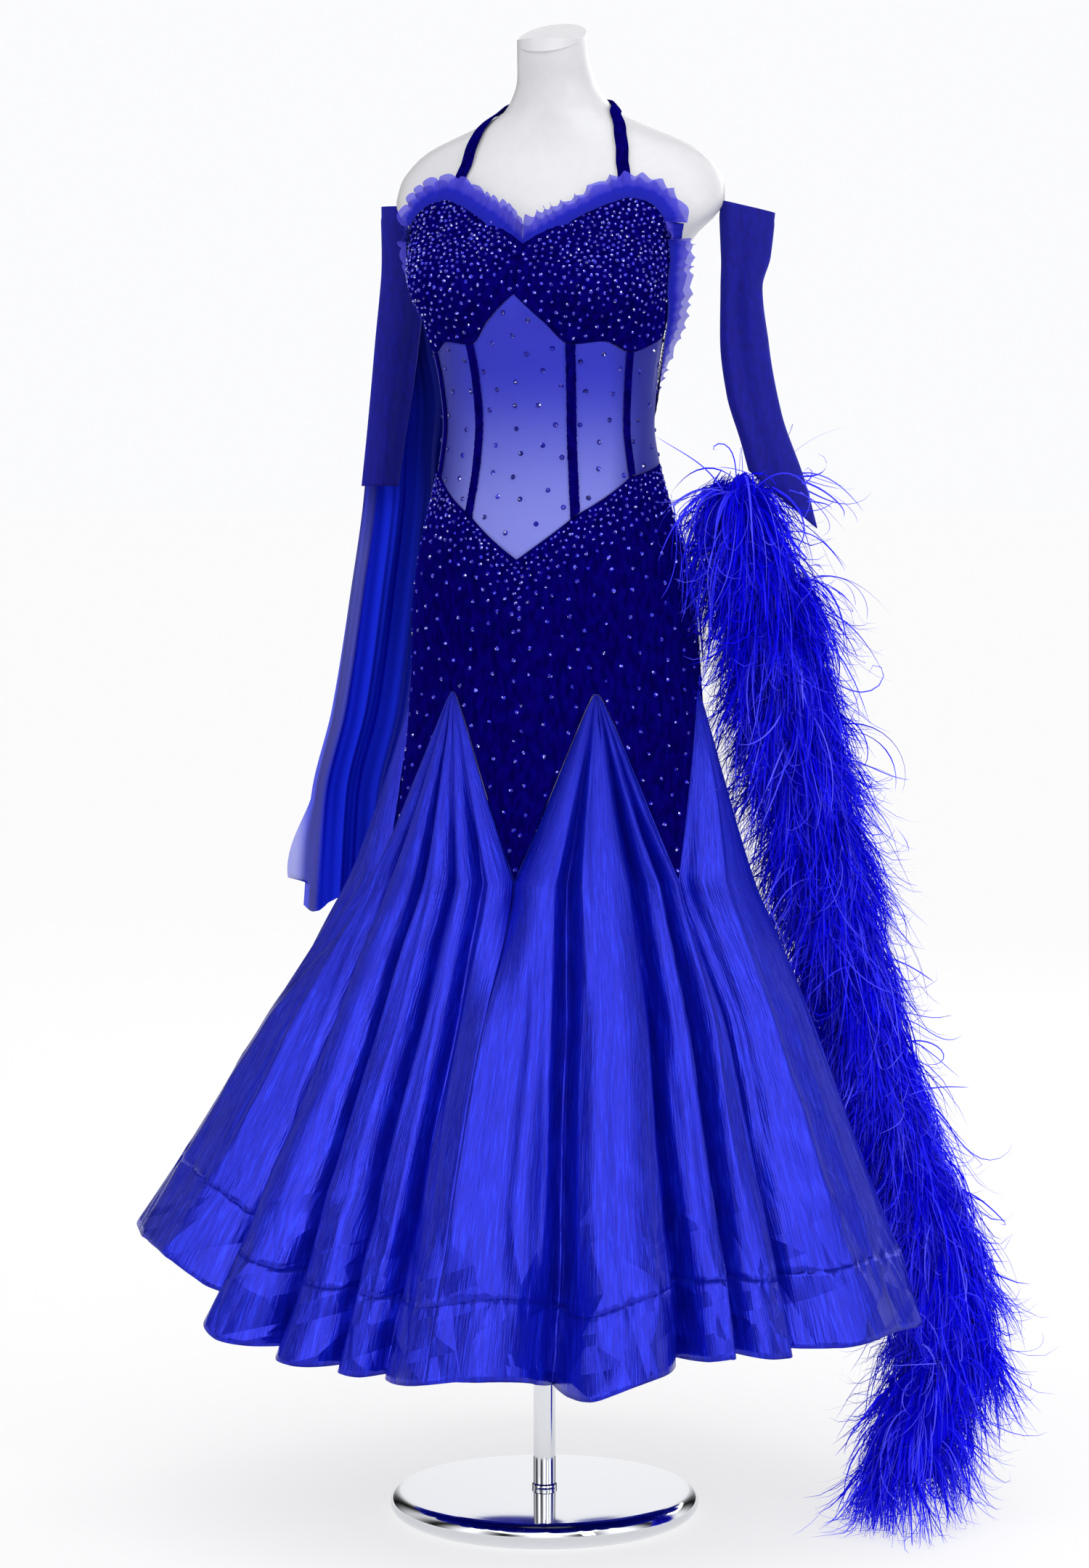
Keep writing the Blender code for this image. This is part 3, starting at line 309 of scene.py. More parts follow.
# A crease lies at a height and an angle round the tube, with its spread, width and depth.
Sleeve = namedtuple("Sleeve", "name rings twist slant trough creases")
LEFT_CREASES = (
    (1.3205, 1.1, 0.9, 0.010, -0.0030),
    (1.336, 1.2, 0.8, 0.008, 0.0020),
    (1.300, 0.9, 0.9, 0.009, 0.0018),
)
RIGHT_CREASES = ((1.270, -0.4, 1.0, 0.014, 0.0014), (1.190, 0.7, 0.9, 0.012, -0.0014))
SLEEVES = (
    Sleeve("left", LEFT_SLEEVE, 19, 0.86, -0.25, LEFT_CREASES),
    Sleeve("right", RIGHT_SLEEVE, 32, 0.0, 0.55, RIGHT_CREASES),
)
SLEEVE_TILT = 0.0078
SLEEVE_HEM_STEP = 0.0007
SLEEVE_HEM_EDGE = 0.0006
SLEEVE_TROUGH = 0.0062
TROUGH_SPREAD = 0.7
SLEEVE_WALL = 0.0012
SLEEVE_HEM = 0.013

# Chiffon float: height, centre, half width and fold depth.
FLOAT_ROWS = (
    (1.3920, -0.1945, 0.1085, 0.0120, 0.0006),
    (1.3325, -0.2009, 0.1140, 0.0200, 0.0020),
    (1.2625, -0.2014, 0.1175, 0.0280, 0.0040),
    (1.2000, -0.1976, 0.1190, 0.0360, 0.0060),
    (1.1500, -0.2019, 0.1210, 0.0400, 0.0080),
    (1.0925, -0.2056, 0.1240, 0.0440, 0.0100),
    (0.9825, -0.2210, 0.1240, 0.0460, 0.0120),
    (0.8625, -0.2395, 0.1200, 0.0470, 0.0120),
    (0.7625, -0.2650, 0.1180, 0.0460, 0.0120),
    (0.6425, -0.2740, 0.1150, 0.0450, 0.0110),
)
FLOAT_WAVES = 2.5
FLOAT_TWIST = 28
FLAP_TOP_Z = 0.762
FLAP_FOOT_Z = 0.676
FLAP_SHARE = 0.12

# Feather boa: height, distance from the body's axis, its direction in degrees, and its core's radius.
BOA_ROWS = (
    (1.1258, 0.2131, 108.0, 0.006),
    (1.104, 0.208, 108.0, 0.018),
    (1.070, 0.213, 108.5, 0.030),
    (1.000, 0.238, 110.5, 0.037),
    (0.900, 0.259, 114.6, 0.037),
    (0.800, 0.282, 117.2, 0.036),
    (0.700, 0.309, 118.5, 0.036),
    (0.600, 0.334, 118.7, 0.036),
    (0.500, 0.356, 117.1, 0.036),
    (0.400, 0.386, 113.0, 0.036),
    (0.300, 0.421, 109.6, 0.038),
    (0.205, 0.433, 105.0, 0.041),
    (0.120, 0.406, 99.0, 0.042),
    (0.054, 0.392, 95.0, 0.026),
)

# The boa's flues, layer by layer from the core out, and how far they may stand out of the solids' box.
Plumes = namedtuple("Plumes", "name tufts flues steps reach rise sag curl width tone")
BOA_ROOM = ((0.028, 0.028, -0.004), (0.036, 0.030, 0.0))
FLUE_FLOOR_Z = 0.004
FLUE_CLEARANCE = 0.003
CORE_CLEARANCE = 0.004
CORE_SHARE = 0.86
# The core's darker tone is painted shade, deep inside the feathers.
CORE_SHADE_TONE = 0.12
CROWN_SHARE = 0.28
CORE_LEAST = 0.024
ROOT_SCATTER = 0.0045

# Stones: how near they stand to each other, at distances from the cup's foot or from the yoke.
STONE_SINK = 0.0002
CUP_PITCHES = ((0.0, 0.0135), (0.02, 0.0100), (0.05, 0.0072), (0.08, 0.0058))
HIP_PITCHES = ((0.0, 0.0047), (0.018, 0.0058), (0.045, 0.0088), (0.070, 0.0150), (0.095, 0.0205))
BACK_PITCHES = ((0.0, 0.0058), (0.03, 0.0075), (0.06, 0.013), (0.085, 0.0200))
BACK_TURNS = (60, 100)
BONE_CLEARANCE_TURN = 4.6

# Studio: strip lamps round the set, by their number, start, swing and common power, and a lit sheet behind.
FLOOR_RADIUS = 40.0
STRIP_LAMPS = 6.0
STRIP_START = -9.74
STRIP_WAVE = 0.60
STRIP_POWER = 0.62
STRIP_FRONT = -0.45
STRIP_SIDE = 0.34
SHEET_EDGE = (0.10, 0.34)
SHEET_POWER = 0.50
SEEN_WHITE = (0.965, 0.968, 0.985)
LAMP_WHITE = (0.97, 0.97, 0.985)


def linear(code):
    """A linear colour from an sRGB hex value."""
    parts = [int(code[n : n + 2], 16) / 255 for n in (1, 3, 5)]
    return [p / 12.92 if p <= 0.04045 else ((p + 0.055) / 1.055) ** 2.4 for p in parts]


def colour(label, code, note):
    return FloatVectorProperty(
        name=label, description=note, subtype="COLOR", size=3, min=0.0, max=1.0, default=linear(code)
    )


def length(label, default, note):
    return FloatProperty(name=label, description=note, default=default, unit="LENGTH")


def bearing(label, degrees, note):
    return FloatProperty(name=label, description=note, default=math.radians(degrees), subtype="ANGLE")


def count(label, default, least, note):
    return IntProperty(name=label, description=note, default=default, min=least)


class GownColours(bpy.types.PropertyGroup):
    """The gown's dyes and finishes."""

    velvet: colour("Velvet", "#05005c", "Velvet seen along its pile, where it swallows light")
    velvet_bloom: colour("Velvet bloom", "#2018d8", "Velvet brushed against its pile and at its edges")
    satin: colour("Satin", "#0e19b4", "Satin of the godets and the hem bands")
    satin_light: colour("Satin light", "#2641fa", "Satin where its floats catch the light")
    mesh: colour("Power mesh", "#2e33c0", "Stretch net over the ribs")
    mesh_open: colour("Stretched mesh", "#8085e0", "Stretch net where the belly draws it open")
    tulle: colour("Tulle", "#161ca4", "Gathered net of the ruffle")
    tulle_edge: colour("Tulle edge", "#4c46cc", "Gathered net where it stands free")
    jersey: colour("Jersey", "#0e0a7e", "Matte knit of the sleeves")
    chiffon: colour("Chiffon", "#1428d0", "Sheer float behind the right sleeve")
    feather: colour("Feather", "#0803f0", "Ostrich flues of the boa")
    feather_light: colour("Feather tips", "#5c5cff", "Thin flues that the light comes through")
    stone: colour("Stone", "#2420e8", "Foiled sapphire glass")
    stone_spark: colour("Stone spark", "#e4e8ff", "Facets that throw the lamps back")
    shell: colour("Shell", "#cfcfd2", "Moulded white shell of the form")
    chrome: colour("Chrome", "#e2e4e8", "Plated steel of the stand")


class GownTrim(bpy.types.PropertyGroup):
    """Sizes of the trim."""

    stone_size: length("Stone size", 0.0044, "Girdle of the commonest stone")
    mesh_stone_size: length("Mesh stone size", 0.0058, "Girdle of the stones on the mesh")
    mesh_stone_pitch: length("Mesh stone spacing", 0.0235, "Least distance between two stones on the mesh")
    frill_pitch: length("Frill pitch", 0.0140, "Distance from one pleat of the ruffle to the next")
    frill_height: length("Frill height", 0.0140, "How far the ruffle stands above the bodice's edge")
    tufts: count("Feather tufts", 1040, 10, "Number of tufts tied along the boa")
    flues: count("Flues to a tuft", 17, 1, "Number of flues that spring from each tuft")
    flue_length: length("Flue length", 0.090, "Length of a common flue along its curve")
    flue_width: length("Flue width", 0.0018, "Width of a common flue at its root")


class GownStage(bpy.types.PropertyGroup):
    """The studio round the gown."""

    floor: colour("Floor", "#fcfcfe", "Pale studio floor")
    azimuth: bearing("Camera azimuth", 18, "How far the camera stands round towards the wearer's left")
    distance: length("Camera distance", 4.75, "From the stand's axis to the camera")
    height: length("Camera height", 1.2125, "From the floor to the camera")
    pitch: bearing("Camera pitch", 5.05, "How far the camera looks down")
    lens: FloatProperty(name="Lens", description="Focal length in millimetres", default=102.45, min=1.0)


# Curves and surfaces.


class Smooth:
    """A curve through the rows of a table that never overshoots them."""

    def __init__(self, keys, values):
        order = np.argsort(keys)
        self.keys = np.asarray(keys, float)[order]
        self.values = np.asarray(values, float)[order]
        rise = np.diff(self.values) / np.diff(self.keys)
        before = np.concatenate((rise[:1], rise))
        after = np.concatenate((rise, rise[-1:]))
        turns_back = before * after <= 0
        total = np.where(turns_back, 1.0, before + after)
        self.slopes = np.where(turns_back, 0.0, 2 * before * after / total)

    def __call__(self, at):
        at = np.clip(at, self.keys[0], self.keys[-1])
        i = np.clip(np.searchsorted(self.keys, at) - 1, 0, len(self.keys) - 2)
        step = self.keys[i + 1] - self.keys[i]
        s = (at - self.keys[i]) / step
        s2, s3 = s * s, s**3
        return (
            self.values[i] * (2 * s3 - 3 * s2 + 1)
            + self.slopes[i] * step * (s3 - 2 * s2 + s)
            + self.values[i + 1] * (3 * s2 - 2 * s3)
            + self.slopes[i + 1] * step * (s3 - s2)
        )


def column_curves(rows, key=0):
    """One smooth curve for each other column of a table."""
    columns = list(zip(*rows))
    return [Smooth(columns[key], column) for n, column in enumerate(columns) if n != key]


HALF_WIDTH, FRONT, BACK = column_curves(SECTIONS)
FOOT_HALF_WIDTH, FOOT_FRONT, FOOT_BACK = column_curves(FORM_FOOT)
EDGE_HEIGHT = column_curves(GARMENT_EDGE)[0]
CUP_FOOT_HEIGHT = column_curves(CUP_FOOT)[0]
BOA_RADIUS, BOA_TURN, BOA_THICK = column_curves(BOA_ROWS)


def between(low, high, share):
    return low + (high - low) * share


def share_of(at, start, end):
    """How far a value has come from start towards end, from 0 to 1."""
    return np.clip((at - start) / (end - start), 0.0, 1.0)


def eased(share):
    """A share that leaves 0 and reaches 1 gently."""
    return share * share * (3 - 2 * share)


def bump_of(away):
    """1 at 0, falling smoothly to 0 at 1."""
    return np.cos(np.pi / 2 * np.minimum(1.0, np.abs(away))) ** 2


def swell(away):
    return np.exp(-(away**2))


def waver(at, *waves):
    """A slow uneven wave: each of waves is its size, its count of radians and its start."""
    return sum(size * np.sin(pace * at + start) for size, pace, start in waves)


def round_from(turn, other):
    return (turn - other + 180) % 360 - 180


def step_of(share, steps):
    """The number of the row or column that a share of the way has come to."""
    return np.round(share * steps).astype(int)


def level_place(x_of, y_of, z):
    """Places on a line that is given by its x and y at each height."""
    return np.stack((x_of(z), y_of(z), z), axis=-1)


def unit(vectors):
    return vectors / np.maximum(1e-9, np.linalg.norm(vectors, axis=-1, keepdims=True))


def egg(half_width, front, back, turn, z, out=0.0):
    """Points round an egg-shaped section."""
    angle = np.radians(turn)
    middle, depth = (front + back) / 2, (back - front) / 2
    x = (half_width + out) * np.sin(angle)
    y = middle - (depth + out) * np.cos(angle)
    return np.stack(np.broadcast_arrays(x, y, z), axis=-1)


def body(turn, z, out=0.0):
    """The gown's inner surface, without cups and folds."""
    return egg(HALF_WIDTH(z), FRONT(z), BACK(z), turn, z, out)


def round_place(points, out=0.0):
    """The turn of each point, and its distance from the axis as a share of the body's there, let out."""
    x, y, z = np.moveaxis(points, -1, 0)
    front, back = FRONT(z), BACK(z)
    across = x / (HALF_WIDTH(z) + out)
    ahead = ((front + back) / 2 - y) / ((back - front) / 2 + out)
    return np.degrees(np.arctan2(across, ahead)), np.hypot(across, ahead)


def cup_depth(turn, z):
    away = np.hypot((np.abs(turn) - BUST_TURN) / BUST_SPREAD_TURN, (z - BUST_Z) / BUST_SPREAD_Z)
    return BUST_DEPTH * bump_of(away)


def bodice(turn, z, out=0.0):
    return body(turn, z, out + cup_depth(turn, z))


def turn_of(distance, z):
    """The turn that a small distance round the body takes at a height."""
    return np.degrees(distance / HALF_WIDTH(z))


def edge_height(turn):
    return EDGE_HEIGHT(np.abs(turn))


def cup_foot_height(turn):
    return CUP_FOOT_HEIGHT(np.abs(turn))


def ribs_top(turn):
    """The top of the sheer midriff: under the cups, or along the open back."""
    return np.where(np.abs(turn) <= CUP_SIDE_TURN, cup_foot_height(turn), edge_height(turn))


def yoke_height(turn):
    turns, heights = zip(*YOKE_TOP)
    return np.interp(np.abs(turn), turns, heights)


def drop_at(z):
    """0 at the godets' points and 1 at the valleys between them."""
    return (PEAK_Z - z) / (PEAK_Z - VALLEY_Z)


def depth_at(z):
    """0 at the godets' points and 1 at the hem."""
    return np.maximum(0.0, (PEAK_Z - z) / (PEAK_Z - HEM_Z))


def godet_half_turn(drop):
    return between(TIP_HALF_TURN, GODET_HALF_TURN, np.clip(drop, 0.0, 1.0) ** FLARE_POWER)


def velvet_foot(turn):
    """The zigzag lower edge of the velvet, just clear of the godets."""
    away = np.min([np.abs(turn - godet.turn) for godet in GODETS], axis=0) - turn_of(ZIGZAG_GAP, PEAK_Z)
    share = np.maximum(0.0, (away - TIP_HALF_TURN) / (GODET_HALF_TURN - TIP_HALF_TURN))
    return between(PEAK_Z, VALLEY_Z, share ** (1 / FLARE_POWER)) + ZIGZAG_GAP


def velvet_slack(turn, z):
    """How far the velvet stands off between two godets, where it falls in a soft fold."""
    drop = np.clip(drop_at(z), 0.0, 1.0)
    offset = np.abs((turn + GODET_HALF_TURN) % (2 * GODET_HALF_TURN) - GODET_HALF_TURN)
    free = np.maximum(1.0, GODET_HALF_TURN - godet_half_turn(drop))
    return VELVET_SLACK * bump_of(offset / free) * drop**0.5 * (1 - drop**4)


def hips(turn, z, out=0.0):
    return body(turn, z, out + velvet_slack(turn, z))


def side_share(turn):
    """How much of the lifted side a turn has."""
    return bump_of(round_from(turn, SIDE_FLARE_TURN) / SIDE_FLARE_SPREAD)


def round_distance(turn, line, reach):
    """How far round the cloth a turn lies from a line."""
    return np.radians(round_from(turn, line)) * reach


def hem_height(turn):
    """The height of the hem, softened between the places of its line."""
    turns, heights = zip(*HEM_LINE)
    found = [np.interp(turn + away, turns, heights, period=360) for away in HEM_SOFTENING]
    return sum(found) / len(found)


def godet_foot(godet, across):
    """The height of the hem under a godet, from -1 at one seam to 1 at the other."""
    return hem_height(godet.turn + across * GODET_HALF_TURN)


def roll_height(turn):
    """The share of the full fold depth at a turn, where each roll falls to a trough at its edges."""
    total = 0.0
    for roll in ROLLS:
        away = np.abs(round_from(turn, roll.turn)) / roll.half_turn
        total = total + (roll.height * np.maximum(0.0, 1 - away**ROLL_POWER)) ** 4
    return LOBE_SHARE + total**0.25


def crease_height(turn, z, reach):
    """The fine ridges and troughs of the satin, which fade in and out along their lines."""
    height = 0.0
    for n, crease in enumerate(CREASES):
        share = (crease.z - z) / (crease.z - crease.to_z)
        line = between(crease.turn, crease.to_turn, share) + 0.5 * np.sin(19 * z + 2.3 * n)
        away = round_distance(turn, line, reach) / crease.width
        fade = np.clip(np.minimum(share / CREASE_FADE_IN, (1 - share) / CREASE_FADE_OUT), 0.0, 1.0)
        height = height + crease.depth * swell(away) * eased(fade)
    return height


def valley_height(turn, z, reach):
    """The pinched valleys between rolls and the lips beside them."""
    rolls = sorted(ROLLS, key=lambda roll: roll.turn)
    rolls.append(rolls[0]._replace(turn=rolls[0].turn + 360))
    fade = share_of(z, *VALLEY_FADE) * np.maximum(VALLEY_HEM_SHARE, share_of(z, HEM_Z, HEM_Z + 0.10))
    height = 0.0
    for n, (left, right) in enumerate(zip(rolls, rolls[1:])):
        share = left.half_turn / (left.half_turn + right.half_turn)
        line = between(left.turn, right.turn, share) + 0.5 * np.sin(15 * z + 1.9 * n)
        away = round_distance(turn, line, reach)
        height = height - VALLEY_DEPTH * fade * swell(away / VALLEY_WIDTH)
        for side in (-1, 1):
            lip = fade * (0.6 + 0.4 * np.sin(9 * z + 2.7 * n + side))
            height = height + LIP_DEPTH * lip * swell((away - side * LIP_AWAY) / LIP_WIDTH)
    return height


def plane_height(turn, z):
    """Flat planes with crisp edges between them, which run down the satin and change as they go."""
    random = np.random.default_rng(23)
    share = share_of(z, PLANE_TOP_Z, PLANE_FOOT_Z)
    height = 0.0
    for edges, depth, lean in PLANES:
        at = np.sort(random.uniform(-180, 180, edges))
        high, low = random.uniform(-1, 1, (2, edges))
        moved = turn + lean * np.sin(6 * z + edges)
        upper, lower = (np.interp(moved, at, ends, period=360) for ends in (high, low))
        height = height + depth * between(upper, lower, share)
    return height * share**0.6


def dent_height(turn, z, reach):
    """Soft dents and swellings, more and deeper towards the hem."""
    random = np.random.default_rng(17)
    height = 0.0
    for _ in range(DENTS):
        at_turn, at_z = random.uniform(-180, 180), between(HEM_Z, DENT_TOP_Z, random.uniform(0, 1) ** 1.5)
        wide, tall = random.uniform(*DENT_WIDTHS), random.uniform(*DENT_HEIGHTS)
        lean, depth = random.uniform(-1.2, 1.2), random.choice((-1, 1)) * random.uniform(*DENT_DEPTHS)
        across = (round_distance(turn, at_turn, reach) - lean * (z - at_z)) / wide
        height = height + depth * np.exp(-(np.abs(across) ** 1.3) - ((z - at_z) / tall) ** 2)
    return height


def lift_at(turn, z, height):
    """How far the skirt stands out of the body where its rolls have a height."""
    depth = depth_at(z)
    return VELVET_WALL + SIDE_FLARE * depth**2 * side_share(turn) + FOLD_DEPTH * depth**FOLD_POWER * height


def skirt(godet, across, z, out=0.0):
    """The satin's outer face, level with the velvet's at the seams and out in rolls below its points."""
    half_turn = godet_half_turn(drop_at(z))
    turn = godet.turn + across * half_turn
    spread = godet.turn + across * GODET_HALF_TURN
    held = 1 - eased(np.clip((drop_at(z) - 1) / ROLL_RELEASE, 0.0, 1.0))
    drift = np.minimum(1.0, depth_at(z) * 3) * waver(z, (0.45, 11, 1), (0.2, 29, 2)) * (1 - across**2)
    lift = lift_at(turn, z, roll_height(spread + drift) * (1 - held * across**4))
    reach = HALF_WIDTH(z) + lift
    rim = np.clip((1 - np.abs(across)) * np.radians(half_turn) * reach / SEAM_CALM, 0.0, 1.0)
    fine = crease_height(spread, z, reach) + valley_height(spread, z, reach)
    fine = fine + dent_height(spread, z, reach) + plane_height(spread, z)
    turn = turn - across * turn_of(SEAM_GAP / 2, z)
    return body(turn, z, lift + fine * between(1.0, rim, held) + out)


def skirt_reach(turn, z):
    """How far the satin or velvet stands out of the body at a place."""
    height = 0.0
    for godet in GODETS:
        across = round_from(turn, godet.turn) / godet_half_turn(drop_at(z))
        roll = roll_height(godet.turn + np.clip(across, -1, 1) * GODET_HALF_TURN)
        height = height + np.where(np.abs(across) <= 1, roll, 0.0)
    return lift_at(turn, z, height)


def clear_of_skirt(points, clearance):
    """Moves points that would lie inside the gown out to its surface."""
    z = points[..., 2]
    turn, _ = round_place(points, VELVET_WALL)
    _, share = round_place(points, skirt_reach(turn, z) + clearance)
    push = np.where((share < 1) & (z > HEM_Z - 0.04), 1 / np.maximum(share, 0.2), 1.0)
    middle = np.stack((0 * z, (FRONT(z) + BACK(z)) / 2, z), axis=-1)
    return middle + (points - middle) * push[..., None]


def directions_on(lie, turn, z):
    """Unit directions out of a surface at places on it."""
    around = lie(turn + 0.4, z) - lie(turn - 0.4, z)
    upward = lie(turn, z + 0.002) - lie(turn, z - 0.002)
    return unit(np.cross(around, upward))


def route_places(route, count, lie, side):
    """Turns and heights of evenly spaced places along a route on a surface."""
    turns, heights = column_curves([(n, *row) for n, row in enumerate(route)])
    fine = np.linspace(0, len(route) - 1, 2000)
    points = lie(side * turns(fine), heights(fine))
    steps = np.linalg.norm(np.diff(points, axis=0), axis=1)
    length = np.concatenate(([0.0], np.cumsum(steps)))
    at = np.interp(np.linspace(0, length[-1], count), length, fine)
    return side * turns(at), heights(at), length[-1]


def flat_axes(twist):
    """The directions across and through a flat tube or panel that is twisted from the front."""
    turned = math.radians(twist)
    wide = np.array([math.cos(turned), math.sin(turned), 0.0])
    return wide, np.array([wide[1], -wide[0], 0.0])


def spokes(angle):
    """Level directions from an axis."""
    return np.stack((np.sin(angle), -np.cos(angle), 0 * angle), axis=-1)


# Making cloth and other pieces.


def link(name, mesh, material):
    made = bpy.data.objects.new(name, mesh)
    bpy.context.scene.collection.objects.link(made)
    mesh.materials.append(material)
    mesh.shade_smooth()
    return made


def mesh_of(name, bm):
    mesh = bpy.data.meshes.new(name)
    bm.to_mesh(mesh)
    bm.free()
    return mesh


def move_points(mesh, points):
    mesh.vertices.foreach_set("co", np.asarray(points, np.float32).ravel())
    mesh.update()


def points_of(mesh):
    points = np.empty(len(mesh.vertices) * 3)
    mesh.vertices.foreach_get("co", points)
    return points.reshape(-1, 3)


def cloth(name, columns, rows, place, kind, wall=0.0):
    """A sheet whose points go where place(across, down) puts them, with a wall inside it if one is given."""
    bm = bmesh.new()
    bmesh.ops.create_grid(bm, x_segments=columns, y_segments=rows, size=0.5)
    mesh = mesh_of(name, bm)
    flat = points_of(mesh)
    across = np.round((flat[:, 0] + 0.5) * columns) / columns
    down = np.round((0.5 - flat[:, 1]) * rows) / rows
    move_points(mesh, place(across, down))
    made = link(name, mesh, finish_of(kind))
    if wall:
        thicken(made, wall)
    return made


def thicken(made, wall, offset=-1.0):
    solidify = made.modifiers.new("wall", "SOLIDIFY")
    solidify.thickness = wall
    solidify.offset = offset
    solidify.use_rim = True


def mend(made, weld=0.0):
    """Turns a piece's faces outward, after joining the points that lie within a distance of each other."""
    bm = bmesh.new()
    bm.from_mesh(made.data)
    if weld:
        bmesh.ops.remove_doubles(bm, verts=list(bm.verts), dist=weld)
    bmesh.ops.recalc_face_normals(bm, faces=list(bm.faces))
    bm.to_mesh(made.data)
    bm.free()


def panel(name, turns, columns, rows, top, foot, kind, wall):
    """A cut piece of the bodice between two turns and two cut lines, with a seam gap all round."""

    def place(across, down):
        turn = between(*turns, across)
        z = between(top(turn) - SEAM_GAP / 2, foot(turn) + SEAM_GAP / 2, down)
        return bodice(turn + seam_shift(across, z), z, wall)

    return cloth(name, columns, rows, place, kind, wall)


def seam_shift(across, z):
    """The turn by which a cut piece draws in from the seams at its sides."""
    return (0.5 - across) * 2 * turn_of(SEAM_GAP / 2, z)


def copies(name, template, number, kind):
    """One mesh that holds a template many times, and each copy's points in a row of their own."""
    made = link(name, mesh_of(name, template), finish_of(kind))
    array = made.modifiers.new("copies", "ARRAY")
    array.count = number
    array.use_relative_offset = False
    array.use_merge_vertices = False
    settle(made)
    return made, points_of(made.data).reshape(number, -1, 3)


def settle(made):
    """Makes a piece's modifiers part of its mesh."""
    graph = bpy.context.evaluated_depsgraph_get()
    shaped = bpy.data.meshes.new_from_object(made.evaluated_get(graph))
    shaped.name = made.name
    made.modifiers.clear()
    made.data = shaped
    shaped.shade_smooth()


def wears(made, nodes=()):
    """The piece rides with the gown and stands for its solids."""
    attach(made, "root")
    if nodes:
        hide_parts(*nodes)
    return made


def sewn(made, nodes):
    """The piece is cloth: it stands for its solids."""
    wears(made, nodes)


def note(mesh, name, values, domain="POINT"):
    """Keeps a number for each point or face, for its finish to read."""
    layer = mesh.attributes.new(name, "FLOAT", domain)
    layer.data.foreach_set("value", np.asarray(values, np.float32).ravel())


def spin_profile(name, profile, steps):
    """A turned and plated piece from its profile, radius and height from the top inwards."""
    bm = bmesh.new()
    points = [bm.verts.new((x, 0.0, z)) for x, z in profile]
    edges = [bm.edges.new(pair) for pair in zip(points, points[1:])]
    full = {"axis": UPWARD, "angle": 2 * math.pi, "use_merge": True}
    bmesh.ops.spin(bm, geom=points + edges, cent=(0, 0, 0), steps=steps, **full)
    made = link(name, mesh_of(name, bm), finish_of("chrome"))
    mend(made, WELD)
    made.data.set_sharp_from_angle(angle=math.radians(35))
    return made


# Finishes.


class Shading:
    """A node tree, with a short way to each kind of node that the finishes use."""

    def __init__(self, owner):
        owner.use_nodes = True
        self.owner = owner
        self.tree = owner.node_tree

    def add(self, kind, links=None, **settings):
        """Adds a node: settings are its properties, and links its sockets' sources or plain values."""
        made = self.tree.nodes.new(kind)
        for key, value in settings.items():
            setattr(made, key, value)
        for socket, source in (links or {}).items():
            if isinstance(source, bpy.types.NodeSocket):
                self.tree.links.new(source, made.inputs[socket])
            else:
                made.inputs[socket].default_value = source
        return made

    def maths(self, operation, *values):
        return self.add("ShaderNodeMath", dict(enumerate(values)), operation=operation).outputs[0]

    def mapped(self, source, low, high, to_low=0.0, to_high=1.0, kind="LINEAR"):
        """A number carried from one range to another, and held at the ends."""
        ranges = dict(enumerate((source, low, high, to_low, to_high)))
        return self.add("ShaderNodeMapRange", ranges, interpolation_type=kind).outputs[0]

    def coordinates(self, kind="Object"):
        return self.add("ShaderNodeTexCoord").outputs[kind]

    def parts(self, vector):
        return self.add("ShaderNodeSeparateXYZ", {0: vector}).outputs

    def noted(self, name):
        """A number that the piece keeps for its finish."""
        return self.add("ShaderNodeAttribute", attribute_name=name).outputs["Fac"]

    def scaled(self, vector, sizes, lean=0.0):
        """Coordinates in which one step is a grain of the given sizes in metres."""
        scale = tuple(1 / size for size in sizes)
        links = {"Vector": vector, "Rotation": (0.0, lean, 0.0), "Scale": scale}
        return self.add("ShaderNodeMapping", links).outputs["Vector"]

    def noise(self, vector, detail, kind="FBM"):
        links = {"Vector": vector, "Detail": detail}
        return self.add("ShaderNodeTexNoise", links, noise_type=kind).outputs["Fac"]

    def grain(self, size, stretch=1.0, detail=2.0):
        """Noise on the piece's own coordinates, drawn out in height."""
        return self.noise(self.scaled(self.coordinates(), (size, size, size * stretch)), detail)

    def net(self, size, unevenness):
        """How far each place lies from the nearest of scattered points."""
        links = {"Vector": self.scaled(self.coordinates(), (size,) * 3), "Randomness": unevenness}
        return self.add("ShaderNodeTexVoronoi", links).outputs["Distance"]

    def ramp(self, source, *stops):
        """A colour ramp from its stops: place and linear colour."""
        made = self.add("ShaderNodeValToRGB", {"Fac": source})
        elements = made.color_ramp.elements
        while len(elements) < len(stops):
            elements.new(0.5)
        for element, (place, shade) in zip(elements, stops):
            element.position = place
            element.color = rgba(shade)
        return made.outputs["Color"]


class Finish(Shading):
    """A material with one shader. Its sheen is a weight, a roughness and a tint."""

    def __init__(self, name, roughness, specular, sheen=(0.0, 0.5, (1.0, 1.0, 1.0)), **others):
        super().__init__(bpy.data.materials.new(name))
        self.shader = self.tree.nodes["Principled BSDF"]
        weight, sheen_roughness, tint = sheen
        values = {"Roughness": roughness, "Specular IOR Level": specular, "Sheen Weight": weight}
        values |= {"Sheen Roughness": sheen_roughness, "Sheen Tint": rgba(tint)}
        values |= {socket.replace("_", " "): value for socket, value in others.items()}
        for socket, value in values.items():
            self.shader.inputs[socket].default_value = value

    def use(self, socket, source):
        self.tree.links.new(source, self.shader.inputs[socket])

    def paint(self, source, *stops):
        self.use("Base Color", self.ramp(source, *stops))

    def raise_grain(self, source, strength, height):
        links = {"Height": source, "Strength": strength, "Distance": height}
        self.use("Normal", self.add("ShaderNodeBump", links).outputs["Normal"])


def rgba(triple):
    return (*triple, 1.0)


def mixed(first, second, share):
    return tuple(between(a, b, share) for a, b in zip(first, second))


